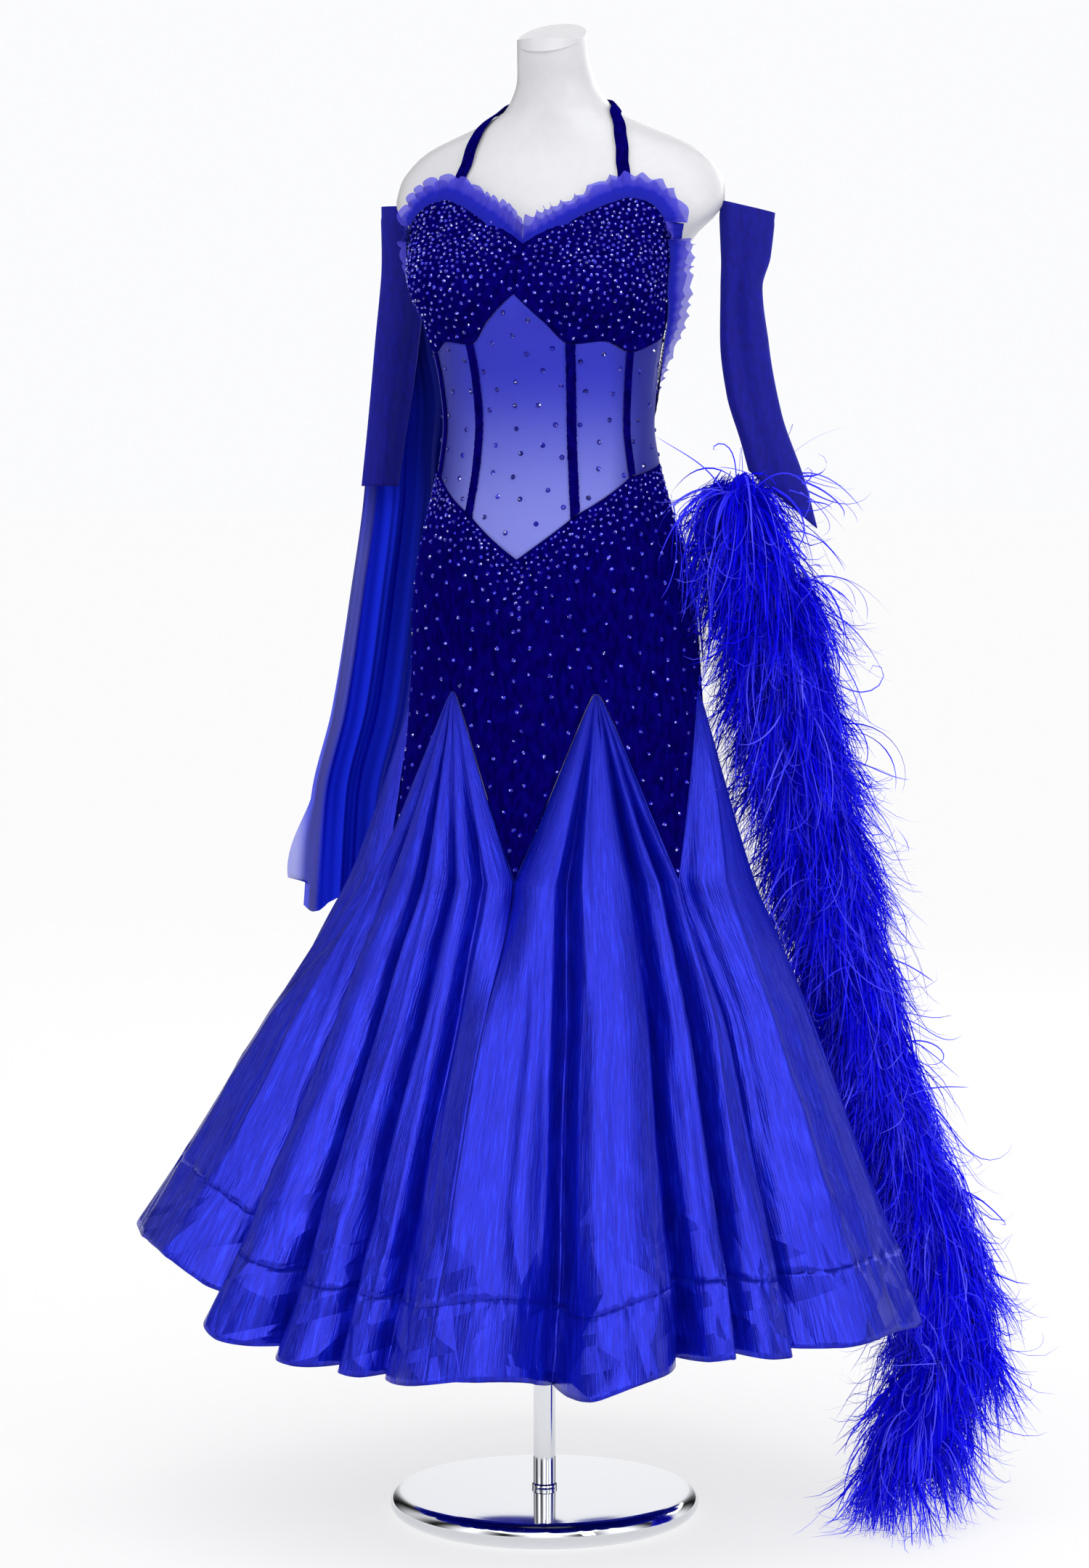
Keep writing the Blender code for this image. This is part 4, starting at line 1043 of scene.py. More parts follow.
def velvet_finish(colours):
    # Silk-pile velvet, sheared: it drinks the light face on and blooms where the pile is seen from the side.
    made = Finish("velvet, sheared pile", 0.95, 0.0, (0.30, 0.30, colours.velvet_bloom))
    made.paint(
        made.grain(0.030, 2.2, 4.0),
        (0.35, mixed(BLACK, colours.velvet, 0.55)),
        (0.72, mixed(colours.velvet, colours.velvet_bloom, 0.06)),
    )
    # Pile tufts stand 0.3 mm apart, too fine to show, so they are drawn at 0.9 mm.
    made.raise_grain(made.grain(0.0009), 0.5, 0.0004)
    return made.owner


def satin_finish(colours):
    # Heavy acetate satin, woven in long floats: broad lights that break up along its fall, painted into its
    # colour as light and dark streaks over the weave's slubs.
    sheen = (0.05, 0.40, colours.satin_light)
    made = Finish("satin, long-float weave", 0.22, 0.44, sheen, Metallic=0.54, Anisotropic=0.30)
    height_here = made.parts(made.coordinates())["Z"]
    fall = made.add("ShaderNodeCombineXYZ", {"X": made.noted("fall"), "Z": height_here}).outputs["Vector"]

    def along_fall(size, stretch, detail, kind="FBM"):
        return made.noise(made.scaled(fall, (size, 1.0, size * stretch)), detail, kind)

    slub = made.maths("MULTIPLY", along_fall(0.0030, 30, 3.0), 0.40)
    # Painted light and shade: long streaks down the fall, added to the slubs, run from a darkened satin to
    # its light.
    slub_and_painted_sheen = made.maths("MULTIPLY_ADD", along_fall(0.0130, 16, 2.0), 0.60, slub)
    made.paint(
        slub_and_painted_sheen,
        (0.36, mixed(colours.satin, BLACK, 0.22)),
        (0.52, colours.satin),
        (0.66, mixed(colours.satin, colours.satin_light, 0.42)),
    )
    # Long shallow pleats and streaks run down the cloth. Crumples gather above the stiffened hem.
    # Floats lie 0.15 mm apart, too fine to show, so they are drawn at 0.6 mm.
    crumple = made.mapped(height_here, 0.46, 0.25, 0.0, 0.016, "SMOOTHSTEP")
    links = {"Vector": made.scaled(fall, (0.062, 1.0, 0.085), 0.30), "Scale": 1.0, "Randomness": 1.0}
    facets = made.add("ShaderNodeTexVoronoi", links, distance="MANHATTAN").outputs["Distance"]
    height = 0.0
    for source, depth in (
        (along_fall(0.034, 11, 1.0, "RIDGED_MULTIFRACTAL"), 0.0005),
        (along_fall(0.0065, 26, 2.0), 0.00062),
        (facets, crumple),
        (along_fall(0.0006, 14, 2.0), 0.00003),
    ):
        height = made.maths("MULTIPLY_ADD", source, depth, height)
    made.raise_grain(height, 1.0, 1.0)
    return made.owner


def mesh_finish(colours):
    # Nylon power mesh: a fine net drawn over the shell, which shows through it most where it is stretched.
    made = Finish("power mesh, knitted nylon", 0.62, 0.25, (0.3, 0.4, colours.mesh_open))
    here = made.parts(made.coordinates())
    stretch = made.mapped(here["Z"], 1.24, 1.06, kind="SMOOTHSTEP")
    # Painted shade: the net is darkened towards the sides, away from the belly, where the body turns away
    # from the lamps in front.
    sides = [made.mapped(here["X"], inner, outer) for inner, outer in ((-0.055, -0.100), (0.088, 0.112))]
    painted_side_shade = made.maths("MAXIMUM", *sides)
    belly = made.ramp(stretch, (0.0, colours.mesh), (1.0, colours.mesh_open))
    # The inputs of a colour mix: its share is 0, and its colours are 6 and 7.
    shades = {0: painted_side_shade, 6: belly, 7: rgba(mixed(BLACK, colours.mesh, 0.55))}
    made.use("Base Color", made.add("ShaderNodeMix", shades, data_type="RGBA").outputs[2])
    # The net's holes are 0.6 mm across, too fine to show, so they are drawn at 1.1 mm.
    holes = made.net(0.0011, 0.35)
    drawn = made.mapped(stretch, 0.0, 1.0, 1.0, 0.82)
    made.use("Alpha", made.maths("MULTIPLY", made.mapped(holes, 0.15, 0.60, 0.64, 0.84), drawn))
    made.raise_grain(holes, 0.25, 0.0002)
    return made.owner


def tulle_finish(colours):
    # Gathered nylon tulle: deep where it lies double on the velvet, pale where it stands free.
    made = Finish("tulle, gathered nylon net", 0.7, 0.1)
    free = made.noted("free")
    made.paint(
        free,
        (0.0, mixed(BLACK, colours.tulle, 0.75)),
        (0.46, colours.tulle),
        (0.62, mixed(colours.tulle, colours.tulle_edge, 0.6)),
        (1.0, colours.tulle_edge),
    )
    # The net's holes are 0.9 mm across, too fine to show, so they are drawn at 1.3 mm.
    threads = made.net(0.0013, 0.5)
    made.use("Alpha", made.maths("MULTIPLY_ADD", threads, 0.14, made.mapped(free, 0.46, 0.66, 1.0, 0.72)))
    return made.owner


def chiffon_finish(colours):
    # Crinkled silk chiffon: nearly solid where its folds lie over each other, clear at its single edge, and
    # painted darker as shadow where it hangs behind the waist.
    made = Finish("chiffon, crinkled silk", 0.75, 0.04)
    layers = made.noted("layers")
    made.paint(
        layers,
        (0.0, mixed(BLACK, colours.chiffon, 0.30)),
        (0.5, colours.chiffon),
        (0.85, mixed(colours.chiffon, colours.mesh_open, 0.16)),
        (1.0, mixed(colours.chiffon, colours.mesh_open, 0.70)),
    )
    # A single layer hides nearly all that is behind it, and the flap at its hem three quarters.
    made.use("Alpha", made.ramp(layers, (0.5, (1.0,) * 3), (0.85, (0.95,) * 3), (1.0, (0.74,) * 3)))
    # Crêpe threads lie 0.2 mm apart, too fine to show, so they are drawn at 0.9 mm.
    made.raise_grain(made.grain(0.0009, 5), 0.25, 0.0003)
    return made.owner


def jersey_finish(colours):
    # Matte viscose jersey: even and soft, with fine wales down the arm and a faint bloom at its edges.
    made = Finish("stretch jersey, matte knit", 0.80, 0.22, (0.35, 0.5, colours.satin_light))
    worn = mixed(colours.jersey, colours.satin, 0.25)
    made.paint(made.grain(0.022, 3, 3.0), (0.3, mixed(colours.jersey, BLACK, 0.18)), (0.75, worn))
    # Wales lie 0.5 mm apart, too fine to show, so they are drawn at 1 mm.
    made.raise_grain(made.grain(0.0010, 6), 0.35, 0.0003)
    return made.owner


def feather_finish(colours):
    # Dyed ostrich: soft flues with a low silky light, paler where they are thin.
    made = Finish("ostrich feather, dyed", 0.60, 0.04)
    made.paint(
        made.noted("tone"),
        (0.0, mixed(BLACK, colours.feather, 0.50)),
        (0.40, colours.feather),
        (0.80, mixed(colours.feather, colours.feather_light, 0.40)),
        (1.0, colours.feather_light),
    )
    return made.owner


def stone_finish(colours):
    # Foil-backed sapphire glass: dark body, bright facets, and a few that throw the lamps straight back,
    # painted into the facets' colours as reflections and glints.
    coat = {"Coat_Weight": 0.25, "Coat_Roughness": 0.03}
    made = Finish("rhinestone, foil-backed glass", 0.14, 0.4, Metallic=0.45, **coat)
    made.paint(
        made.noted("facet"),
        (0.0, mixed(BLACK, colours.stone, 0.10)),
        (0.45, mixed(BLACK, colours.stone, 0.55)),
        (0.70, colours.stone),
        (0.86, mixed(colours.stone, colours.stone_spark, 0.18)),
        (0.93, mixed(colours.stone, colours.stone_spark, 0.55)),
        (0.97, colours.stone_spark),
    )
    return made.owner


def shell_finish(colours):
    # Moulded glass-fibre shell, sprayed gloss white: clean wide lights with a faint orange peel.
    coat = {"Coat_Weight": 0.15, "Coat_Roughness": 0.16}
    made = Finish("glass-fibre shell, gloss white", 0.38, 0.45, **coat)
    made.paint(made.grain(0.05), (0.3, mixed(colours.shell, BLACK, 0.03)), (0.7, colours.shell))
    made.raise_grain(made.grain(0.004, detail=1.0), 0.04, 0.0003)
    return made.owner


def chrome_finish(colours):
    # Polished chrome plate: a mirror with the faint drag lines of its last buffing.
    made = Finish("chrome plate, polished", 0.5, 0.5, Metallic=1.0)
    drag = made.grain(0.0012, 20)
    made.use("Roughness", made.mapped(drag, 0.0, 1.0, 0.03, 0.10))
    made.paint(drag, (0.2, mixed(colours.chrome, BLACK, 0.06)), (0.8, colours.chrome))
    return made.owner


FINISHES = {
    "velvet": velvet_finish,
    "satin": satin_finish,
    "mesh": mesh_finish,
    "jersey": jersey_finish,
    "feather": feather_finish,
    "stone": stone_finish,
    "shell": shell_finish,
    "chrome": chrome_finish,
    "tulle": tulle_finish,
    "chiffon": chiffon_finish,
}
MADE = {}


def finish_of(kind):
    """A finish by its name, made once."""
    if kind not in MADE:
        MADE[kind] = FINISHES[kind](bpy.context.scene.gown_colours)
    return MADE[kind]


# Pieces.


def make_base():
    """A flat plated disc with a rolled rim."""
    profile = [(0.0, BASE_HEIGHT), (BASE_FOOT_RADIUS - 0.010, BASE_HEIGHT - 0.0008)]
    profile.append((BASE_FOOT_RADIUS - 0.004, BASE_HEIGHT - 0.0014))
    for step in range(1, 16):
        angle = math.pi * step / 16
        rise = (BASE_HEIGHT / 2 - 0.0012) * math.cos(angle)
        profile.append((BASE_RADIUS - BASE_ROLL + BASE_ROLL * math.sin(angle), BASE_HEIGHT / 2 + rise))
    profile += [(BASE_FOOT_RADIUS, 0.0), (BASE_FOOT_RADIUS - 0.004, 0.0)]
    profile += [(BASE_FOOT_RADIUS - 0.006, BASE_HOLLOW), (0.0, BASE_HOLLOW)]
    wears(spin_profile("stand_disc", profile, 96), ["stand_base"])


def make_pole():
    """The pole, with a collar where it stands in the disc."""
    top, foot = FORM_FOOT_Z + 0.002, BASE_HEIGHT - 0.0005
    profile = [(0.0, top), (POLE_RADIUS, top), (POLE_RADIUS, foot + 0.006), (COLLAR_RADIUS, foot + 0.0045)]
    profile += [(COLLAR_RADIUS, foot + 0.0010), (COLLAR_RADIUS - 0.0006, foot), (0.0, foot)]
    wears(spin_profile("stand_tube", profile, 48), ["stand_pole", "stand_socket"])


def make_form():
    """A limbless shell, closed below the hips, with a slanting cut across the neck."""
    hip_z = FORM_FOOT[0][0]
    rows = [NECK_CUT_Z] * len(NECK_CAP) + [NECK_CUT_Z - 0.0012, *np.linspace(NECK_CUT_Z - 0.004, hip_z, 108)]
    rows += [*np.linspace(hip_z - 0.006, FORM_FOOT_Z, 16), FORM_FOOT_Z]
    heights = np.array(rows)
    shrink = np.ones(len(rows))
    shrink[: len(NECK_CAP)] = NECK_CAP
    shrink[-1] = 0.0
    middle = (FRONT(NECK_CUT_Z) + BACK(NECK_CUT_Z)) / 2
    foot_middle = (FORM_FOOT[-1][2] + FORM_FOOT[-1][3]) / 2

    def place(across, down):
        n = step_of(down, len(rows) - 1)
        z = heights[n]
        turn = 360 * across - 180
        upper = body(turn, z, -FORM_CLEARANCE)
        lower = egg(FOOT_HALF_WIDTH(z), FOOT_FRONT(z), FOOT_BACK(z), turn, z)
        points = np.where((z >= hip_z)[:, None], upper, lower)
        centre = np.stack((0 * z, np.where(n < 10, middle, foot_middle), z), axis=-1)
        points = centre + (points - centre) * shrink[n][:, None]
        points[:, 2] += np.where(n <= len(NECK_CAP), NECK_CUT_SLOPE * (points[:, 1] - middle), 0.0)
        return points

    made = cloth("form_shell", 104, len(rows) - 1, place, "shell")
    mend(made, WELD)
    made.data.set_sharp_from_angle(angle=math.radians(50))
    wears(made, ["dress_form"])


def make_cups():
    for side, name in SIDES:
        turns = sorted((0, side * CUP_SIDE_TURN))
        made = panel(f"cup_velvet_{name}", turns, 90, 44, edge_height, cup_foot_height, "velvet", VELVET_WALL)
        sewn(made, [f"cup_{name}"])


def make_midriff():
    front, side = FRONT_BONE_TURN, SIDE_BONE_TURN
    for name, *turns in (
        ("centre", -front, front),
        ("front_left", front, side),
        ("front_right", -side, -front),
        ("back_left", side, 180),
        ("back_right", -180, -side),
    ):
        made = panel(f"mesh_{name}", turns, 48, 48, ribs_top, yoke_height, "mesh", MESH_WALL)
        sewn(made, [f"midriff_{name}"])


def bone_place(middle, fray):
    """Where a boning channel's points go, round a turn, with the pile's ragged edge at both sides."""

    def place(across, down):
        edge = middle + turn_of(BONE_WIDTH, BONE_WIDTH_Z) * (across - 0.5)
        z = between(cup_foot_height(edge) - BONE_LAP, yoke_height(edge) + BONE_LAP, down)
        n = step_of(down, BONE_ROWS)
        wide = BONE_WIDTH * (across - 0.5)
        wide = wide + np.where(across < 0.01, fray[0][n], 0) + np.where(across > 0.99, fray[1][n], 0)
        crown = BONE_CROWN * (1 - (2 * across - 1) ** 4)
        groove = BONE_GROOVE * swell((across - 0.5) / 0.09)
        return bodice(middle + turn_of(wide, z), z, BONE_OUT + crown - groove)

    return place


def make_bones():
    """Velvet boning channels, laid over the midriff's seams."""
    ragged = np.random.default_rng(7)
    for side, side_name in SIDES:
        for part, turn in (("front", FRONT_BONE_TURN), ("side", SIDE_BONE_TURN)):
            name = f"{part}_{side_name}"
            fray = ragged.uniform(-1, 1, (2, BONE_ROWS + 1)) * BONE_FRAY
            made = cloth(f"boning_{name}", 8, BONE_ROWS, bone_place(side * turn, fray), "velvet", BONE_WALL)
            sewn(made, [f"bone_{name}"])


def hip_place(low, high):
    """Where a hip's points go, with a row of them level round the hips."""

    def place(across, down):
        turn = between(low, high, across)
        upper = between(yoke_height(turn) - SEAM_GAP / 2, HIP_LEVEL_Z, 2 * down)
        lower = between(HIP_LEVEL_Z, velvet_foot(turn) + SEAM_GAP / 2, 2 * down - 1)
        z = np.where(down < 0.5, upper, lower)
        return hips(turn + seam_shift(across, z), z, VELVET_WALL - 0.0001)

    return place


def make_hips():
    side = SIDE_BONE_TURN
    for name, *turns in (("front", -side, side), ("back_left", side, 180), ("back_right", -180, -side)):
        made = cloth(f"velvet_{name}", 192, 46, hip_place(*turns), "velvet", VELVET_WALL)
        sewn(made, [f"hip_{name}"])


def note_fall(mesh, godet):
    """Notes how far round the cloth each point lies, on lines that run down with its fall."""
    points = points_of(mesh)
    turn, _ = round_place(points)
    across = round_from(turn, godet.turn) / godet_half_turn(drop_at(points[:, 2]))
    note(mesh, "fall", (godet.turn + GODET_HALF_TURN * np.clip(across, -1, 1)) * np.radians(FALL_REACH))


def pucker(godet, starts, across, z):
    """The band's seam draws the satin up in small dimples and stands a little proud."""
    above = z - godet_foot(godet, across) - BAND_HEIGHT
    ridge = SEAM_RIDGE * swell((above - SEAM_RIDGE_Z) / SEAM_RIDGE_WIDTH)
    ridge = ridge - STITCH_DEPTH * swell(above / STITCH_WIDTH)
    waves = waver(across, (1.0, 61, starts[0]), (0.8, 97, starts[1]), (0.7, 143, starts[2]))
    return (ridge + DIMPLE_DEPTH * swell(above / DIMPLE_HEIGHT) * waves) * (1 - across**8)


def make_godet(godet, starts):
    """A satin godet, cut in a flare, and the stiffened band that turns up under it."""
    rows = 60
    upper = 20 / rows

    def place(share_across, down):
        across = 2 * share_across - 1
        foot = godet_foot(godet, across) + BAND_HEIGHT + BAND_GAP / 2
        lower = between(VALLEY_Z, foot, (down - upper) / (1 - upper))
        z = np.where(down <= upper, between(PEAK_Z, VALLEY_Z, down / upper), lower)
        return skirt(godet, across, z, pucker(godet, starts, across, z))

    def place_band(share_across, down):
        across = 2 * share_across - 1
        foot = godet_foot(godet, across)
        z = between(foot + BAND_HEIGHT + BAND_TUCK, foot, down)
        under = share_of(z, foot + BAND_HEIGHT - 0.003, foot + BAND_HEIGHT)
        return skirt(godet, across, z, pucker(godet, starts, across, z) - (SATIN_WALL + SEAM_GAP) * under)

    for piece, cut, node, placed, piece_rows, rests_on in (
        ("satin", "godet", "godet", place, rows, "velvet_front"),
        ("satin_band", "band", "hem_band", place_band, 12, f"satin_{godet.name}"),
    ):
        made = cloth(f"{piece}_{godet.name}", 168, piece_rows, placed, "satin", SATIN_WALL)
        note_fall(made.data, godet)
        sewn(made, [f"{node}_{godet.name}"])


def make_godets():
    ripple = np.random.default_rng(11)
    for godet in GODETS:
        make_godet(godet, ripple.uniform(0, 6.28, 4))


def make_frill(side, name, layer, edge, trim):
    """One layer of gathered net: a close band over the velvet, then free frills."""
    frill = FRILLS[layer]
    point, up, out, distance, beside = edge
    random = np.random.default_rng(20 + layer + (side > 0) * 7)
    pace = 2 * np.pi / trim.frill_pitch
    drift = waver(distance, (2.2, 31, layer), (1.5, 73, 2 + side), (0.9, 151, 1))
    phase = pace * distance + drift + random.uniform(0, 6)
    gathers = np.sin(pace * 3.7 * distance + 2 * drift)
    ragged = waver(distance, (0.0010, 47, 1 + layer), (0.0007, 117, 2), (0.0012, 61, side))
    ragged = ragged + FRILL_POINT * np.abs(np.sin(phase / 2 + 0.6)) ** 0.7
    tall = (trim.frill_height * (1 + SIDE_FRILL_RISE * beside) + ragged) * frill.share
    wave = (np.sin(phase) + 0.25 * np.sin(2.1 * phase + 1)) * (1 - SIDE_FRILL_CALM * beside)
    lean = frill.lean + SIDE_FRILL_LEAN * beside
    sideways = np.cross(up, out)

    def place(across, down):
        n = step_of(across, FRILL_COLUMNS)
        if side < 0:
            n = FRILL_COLUMNS - n
        stand = -frill.overlap + (tall[n] + frill.overlap) * (1 - down)
        free = np.clip(stand / tall[n], 0.0, 1.0)
        proud = frill.lift + lean[n] * np.maximum(0.0, stand) + wave[n] * between(*FRILL_WAVE, free)
        proud = proud + gathers[n] * FRILL_GATHER * bump_of((stand - 0.001) / 0.008)
        sway = FRILL_SWAY * free * np.cos(phase[n])
        return point[n] + up[n] * stand[:, None] + out[n] * proud[:, None] + sideways[n] * sway[:, None]

    made = cloth(f"tulle_{name}_{frill.name}", FRILL_COLUMNS, FRILL_ROWS, place, "tulle")
    rows = np.repeat(np.arange(FRILL_ROWS + 1), FRILL_COLUMNS + 1) / FRILL_ROWS
    note(made.data, "free", between(frill.free, 1.0, rows))
    nodes = [f"ruffle_{name}"] if frill.name == "outer" else ()
    sewn(made, nodes)


def make_ruffle(trim):
    """Gathered net round the bodice's edge, in an outer and an inner layer. It stands taller and leans out
    under the arms.
    """
    for side, name in SIDES:
        turn, z, length = route_places(GARMENT_EDGE, FRILL_COLUMNS + 1, bodice, side)
        distance = np.linspace(0, length, FRILL_COLUMNS + 1)
        point, out = bodice(turn, z, VELVET_WALL), directions_on(bodice, turn, z)
        up = np.cross(out, unit(np.gradient(point, axis=0)))
        up = up * np.sign(up[:, 2:3] + 1e-9)
        up = unit(between(UPWARD, up, share_of(distance, 0, FRILL_DIP)[:, None]))
        front, side_front, side_back, back = SIDE_FRILL_TURNS
        beside = share_of(np.abs(turn), front, side_front) * share_of(np.abs(turn), back, side_back)
        for layer in range(len(FRILLS)):
            make_frill(side, name, layer, (point, up, out, distance, beside), trim)


def make_strap(side, name):
    def lie(turn, z):
        return body(turn, z, between(*STRAP_LIFT, share_of(z, STRAP_ROUTE[0][1], STRAP_FREE_Z)))

    turn, z, _ = route_places(STRAP_ROUTE, STRAP_COLUMNS + 1, lie, side)
    point, out = lie(turn, z), directions_on(lie, turn, z)
    wide = np.cross(unit(np.gradient(point, axis=0)), out)

    def place(across, down):
        n = step_of(across, STRAP_COLUMNS)
        crown = STRAP_CROWN * (1 - (2 * down - 1) ** 4)
        return point[n] + wide[n] * (STRAP_WIDTH * (down - 0.5))[:, None] + out[n] * crown[:, None]

    made = cloth(f"strap_velvet_{name}", STRAP_COLUMNS, 8, place, "velvet")
    mend(made)
    thicken(made, VELVET_WALL, 0.0)
    sewn(made, [f"strap_{name}"])


def make_sleeve(sleeve):
    """A detached jersey sleeve: a flat tube with a turned hem at the top and soft creases."""
    x_of, y_of, wide_of, deep_of = column_curves(sleeve.rings, key=2)
    wide, deep = flat_axes(sleeve.twist)
    top, foot = sleeve.rings[0][2], sleeve.rings[-1][2]

    def angle_from(angle, other):
        return (angle - other + np.pi) % (2 * np.pi) - np.pi

    def place(across, down):
        angle = 2 * np.pi * across
        z = between(top, foot, down)
        half_wide = wide_of(z)
        hem = SLEEVE_HEM_STEP / (1 + np.exp((z - top + SLEEVE_HEM) / SLEEVE_HEM_EDGE))
        reach = np.sin(angle) * (half_wide + hem)
        near = bump_of(angle_from(angle, sleeve.trough) / TROUGH_SPREAD)
        through = np.cos(angle) * (deep_of(z) + hem)
        through = through - SLEEVE_TROUGH * near * np.sin(np.pi * (0.15 + 0.7 * down))
        face = np.sign(np.cos(angle)) * np.abs(np.cos(angle)) ** 0.3
        for level, at, spread, width, depth in sleeve.creases:
            beside = angle_from(angle, at)
            line = level + 0.012 * beside
            through = through + depth * bump_of(beside / (spread * 2)) * swell((z - line) / width) * face
        through = through + 0.0008 * np.sin(34 * z + 2 * angle) * np.cos(angle)
        centre = level_place(x_of, y_of, z)
        points = centre + wide * reach[:, None] + deep * through[:, None]
        points[:, 2] -= sleeve.slant * (reach + half_wide) * np.maximum(0.0, 2 * down - 1)
        points[:, 2] -= sleeve.slant * SLEEVE_TILT * reach / half_wide * np.maximum(0.0, 1 - 4 * down) ** 2
        return points

    made = cloth(f"jersey_{sleeve.name}", 72, 84, place, "jersey")
    mend(made, WELD)
    thicken(made, SLEEVE_WALL)
    sewn(made, [f"sleeve_{sleeve.name}"])


def make_float():
    """A long chiffon panel, gathered at its top, in folds that leave a single layer at its outer edge."""
    x_of, y_of, wide_of, fold_of = column_curves(FLOAT_ROWS)
    wide, deep = flat_axes(FLOAT_TWIST)

    def place(across, down):
        z = between(FLOAT_ROWS[0][0], FLOAT_ROWS[-1][0], down)
        drift = 0.05 * np.sin(5 * z + 3 * across)
        fold = fold_of(z) * np.cos(2 * np.pi * FLOAT_WAVES * (across + drift * down))
        fold = fold + fold_of(z) * 0.30 * np.sin(2 * np.pi * 5.5 * across + 9 * z) * np.minimum(1, down * 3)
        crinkle = 0.0008 * np.sin(2 * np.pi * 13 * across + 14 * z) * np.minimum(1, down * 4)
        centre = level_place(x_of, y_of, z)
        reach = wide_of(z) * (2 * across - 1)
        reach = reach + 0.013 * bump_of((z - 1.235) / 0.15) * np.clip(2 * across - 1, 0, 1)
        flap = np.where(z > FLAP_FOOT_Z, np.sin(share_of(z, FLAP_TOP_Z, FLAP_FOOT_Z) * 1.9) ** 1.3, 0.0)
        reach = reach - 0.021 * flap * share_of(across, FLAP_SHARE, 0) ** 1.5
        points = centre + wide * reach[:, None] + deep * (fold + crinkle)[:, None]
        points[:, 2] -= 0.010 * down**3 * np.sin(3 * np.pi * across) + 0.004 * flap * (across < FLAP_SHARE)
        return points

    made = cloth("chiffon_float", 96, 108, place, "chiffon")
    at = points_of(made.data)
    z = at[:, 2]
    across = ((at - level_place(x_of, y_of, z)) @ wide) / wide_of(z)
    strip = share_of(across, -0.58, -0.70) * share_of(z, 1.13, 1.03)
    # Painted shadow: the panel is darkened towards its inner side, most of all high up, where it hangs behind
    # the waist.
    shadow = share_of(across, 0.05, 0.55) * np.maximum(0.25, share_of(z, 0.80, 1.05))
    flap = share_of(across, -1.02, -1.27) * (z < FLAP_TOP_Z + 0.01)
    note(made.data, "layers", np.clip(0.5 + 0.35 * strip + 0.15 * flap - 0.5 * shadow, 0, 1))
    mend(made)
    sewn(made, ["float_right"])


# Feathers.


def boa_centre(z):
    angle, away = np.radians(BOA_TURN(z)), BOA_RADIUS(z)
    return np.stack((away * np.sin(angle), -away * np.cos(angle), z), axis=-1)


def flue_paths(start, first_way, length, sag, curl_axis, curl, steps):
    """Curved flues: each leaves its root one way, sags, and curls towards its tip."""
    ways = unit(first_way)
    points = [start]
    for n in range(steps):
        ways = unit(ways - UPWARD * (sag / steps)[:, None])
        angle = (curl * ((n + 0.5) / steps) ** 1.6 / steps)[:, None]
        ways = unit(ways * np.cos(angle) + np.cross(curl_axis, ways) * np.sin(angle))
        points.append(points[-1] + ways * (length / steps)[:, None])
    return np.stack(points, axis=1)


def lay_flues(name, paths, width, tone, facing):
    """Thin tapering ribbons along paths, each with its own tone."""
    number, rows = paths.shape[:2]
    template = bmesh.new()
    bmesh.ops.create_grid(template, x_segments=1, y_segments=rows - 1, size=0.5)
    made, local = copies(name, template, number, "feather")
    row = step_of(local[..., 1] + 0.5, rows - 1)
    flat = unit(np.cross(unit(np.gradient(paths, axis=1)), facing[:, None, :]))
    share = row / (rows - 1)
    taper = np.clip(0.55 + 2.2 * share, 0, 1) * (1 - share) ** 0.55 + 0.08
    half = np.sign(local[..., 0]) * 0.5 * width[:, None] * taper
    index = np.arange(number)[:, None]
    points = paths[index, row] + flat[index, row] * half[..., None]
    points[..., 2] = np.maximum(points[..., 2], FLUE_FLOOR_Z)
    move_points(made.data, points.reshape(-1, 3))
    note(made.data, "tone", np.clip(tone[:, None] + 0.22 * (share - 0.4), 0, 1))
    wears(made)


def make_core():
    """The boa's dense lumpy core, in a darker tone that is painted shade deep among the flues."""

    def place(across, down):
        z = between(BOA_ROWS[0][0], BOA_ROWS[-1][0], down)
        angle = 2 * np.pi * across
        lumps = 1 + waver(down * 60 + 3 * np.sin(angle), (0.10, 1.7, 1), (0.08, 0.61, 3))
        lumps = lumps + 0.12 * np.sin(5 * angle + 40 * down) * np.sin(23 * down)
        ends = np.where((down < 0.001) | (down > 0.999), 0.02, 1.0)
        thick = BOA_THICK(z) * CORE_SHARE * lumps * ends
        return clear_of_skirt(boa_centre(z) + spokes(angle) * thick[:, None], CORE_CLEARANCE)

    core = cloth("boa_core", 30, 170, place, "feather")
    mend(core, WELD)
    note(core.data, "tone", np.full(len(core.data.vertices), CORE_SHADE_TONE))
    wears(core, ["boa_left"])


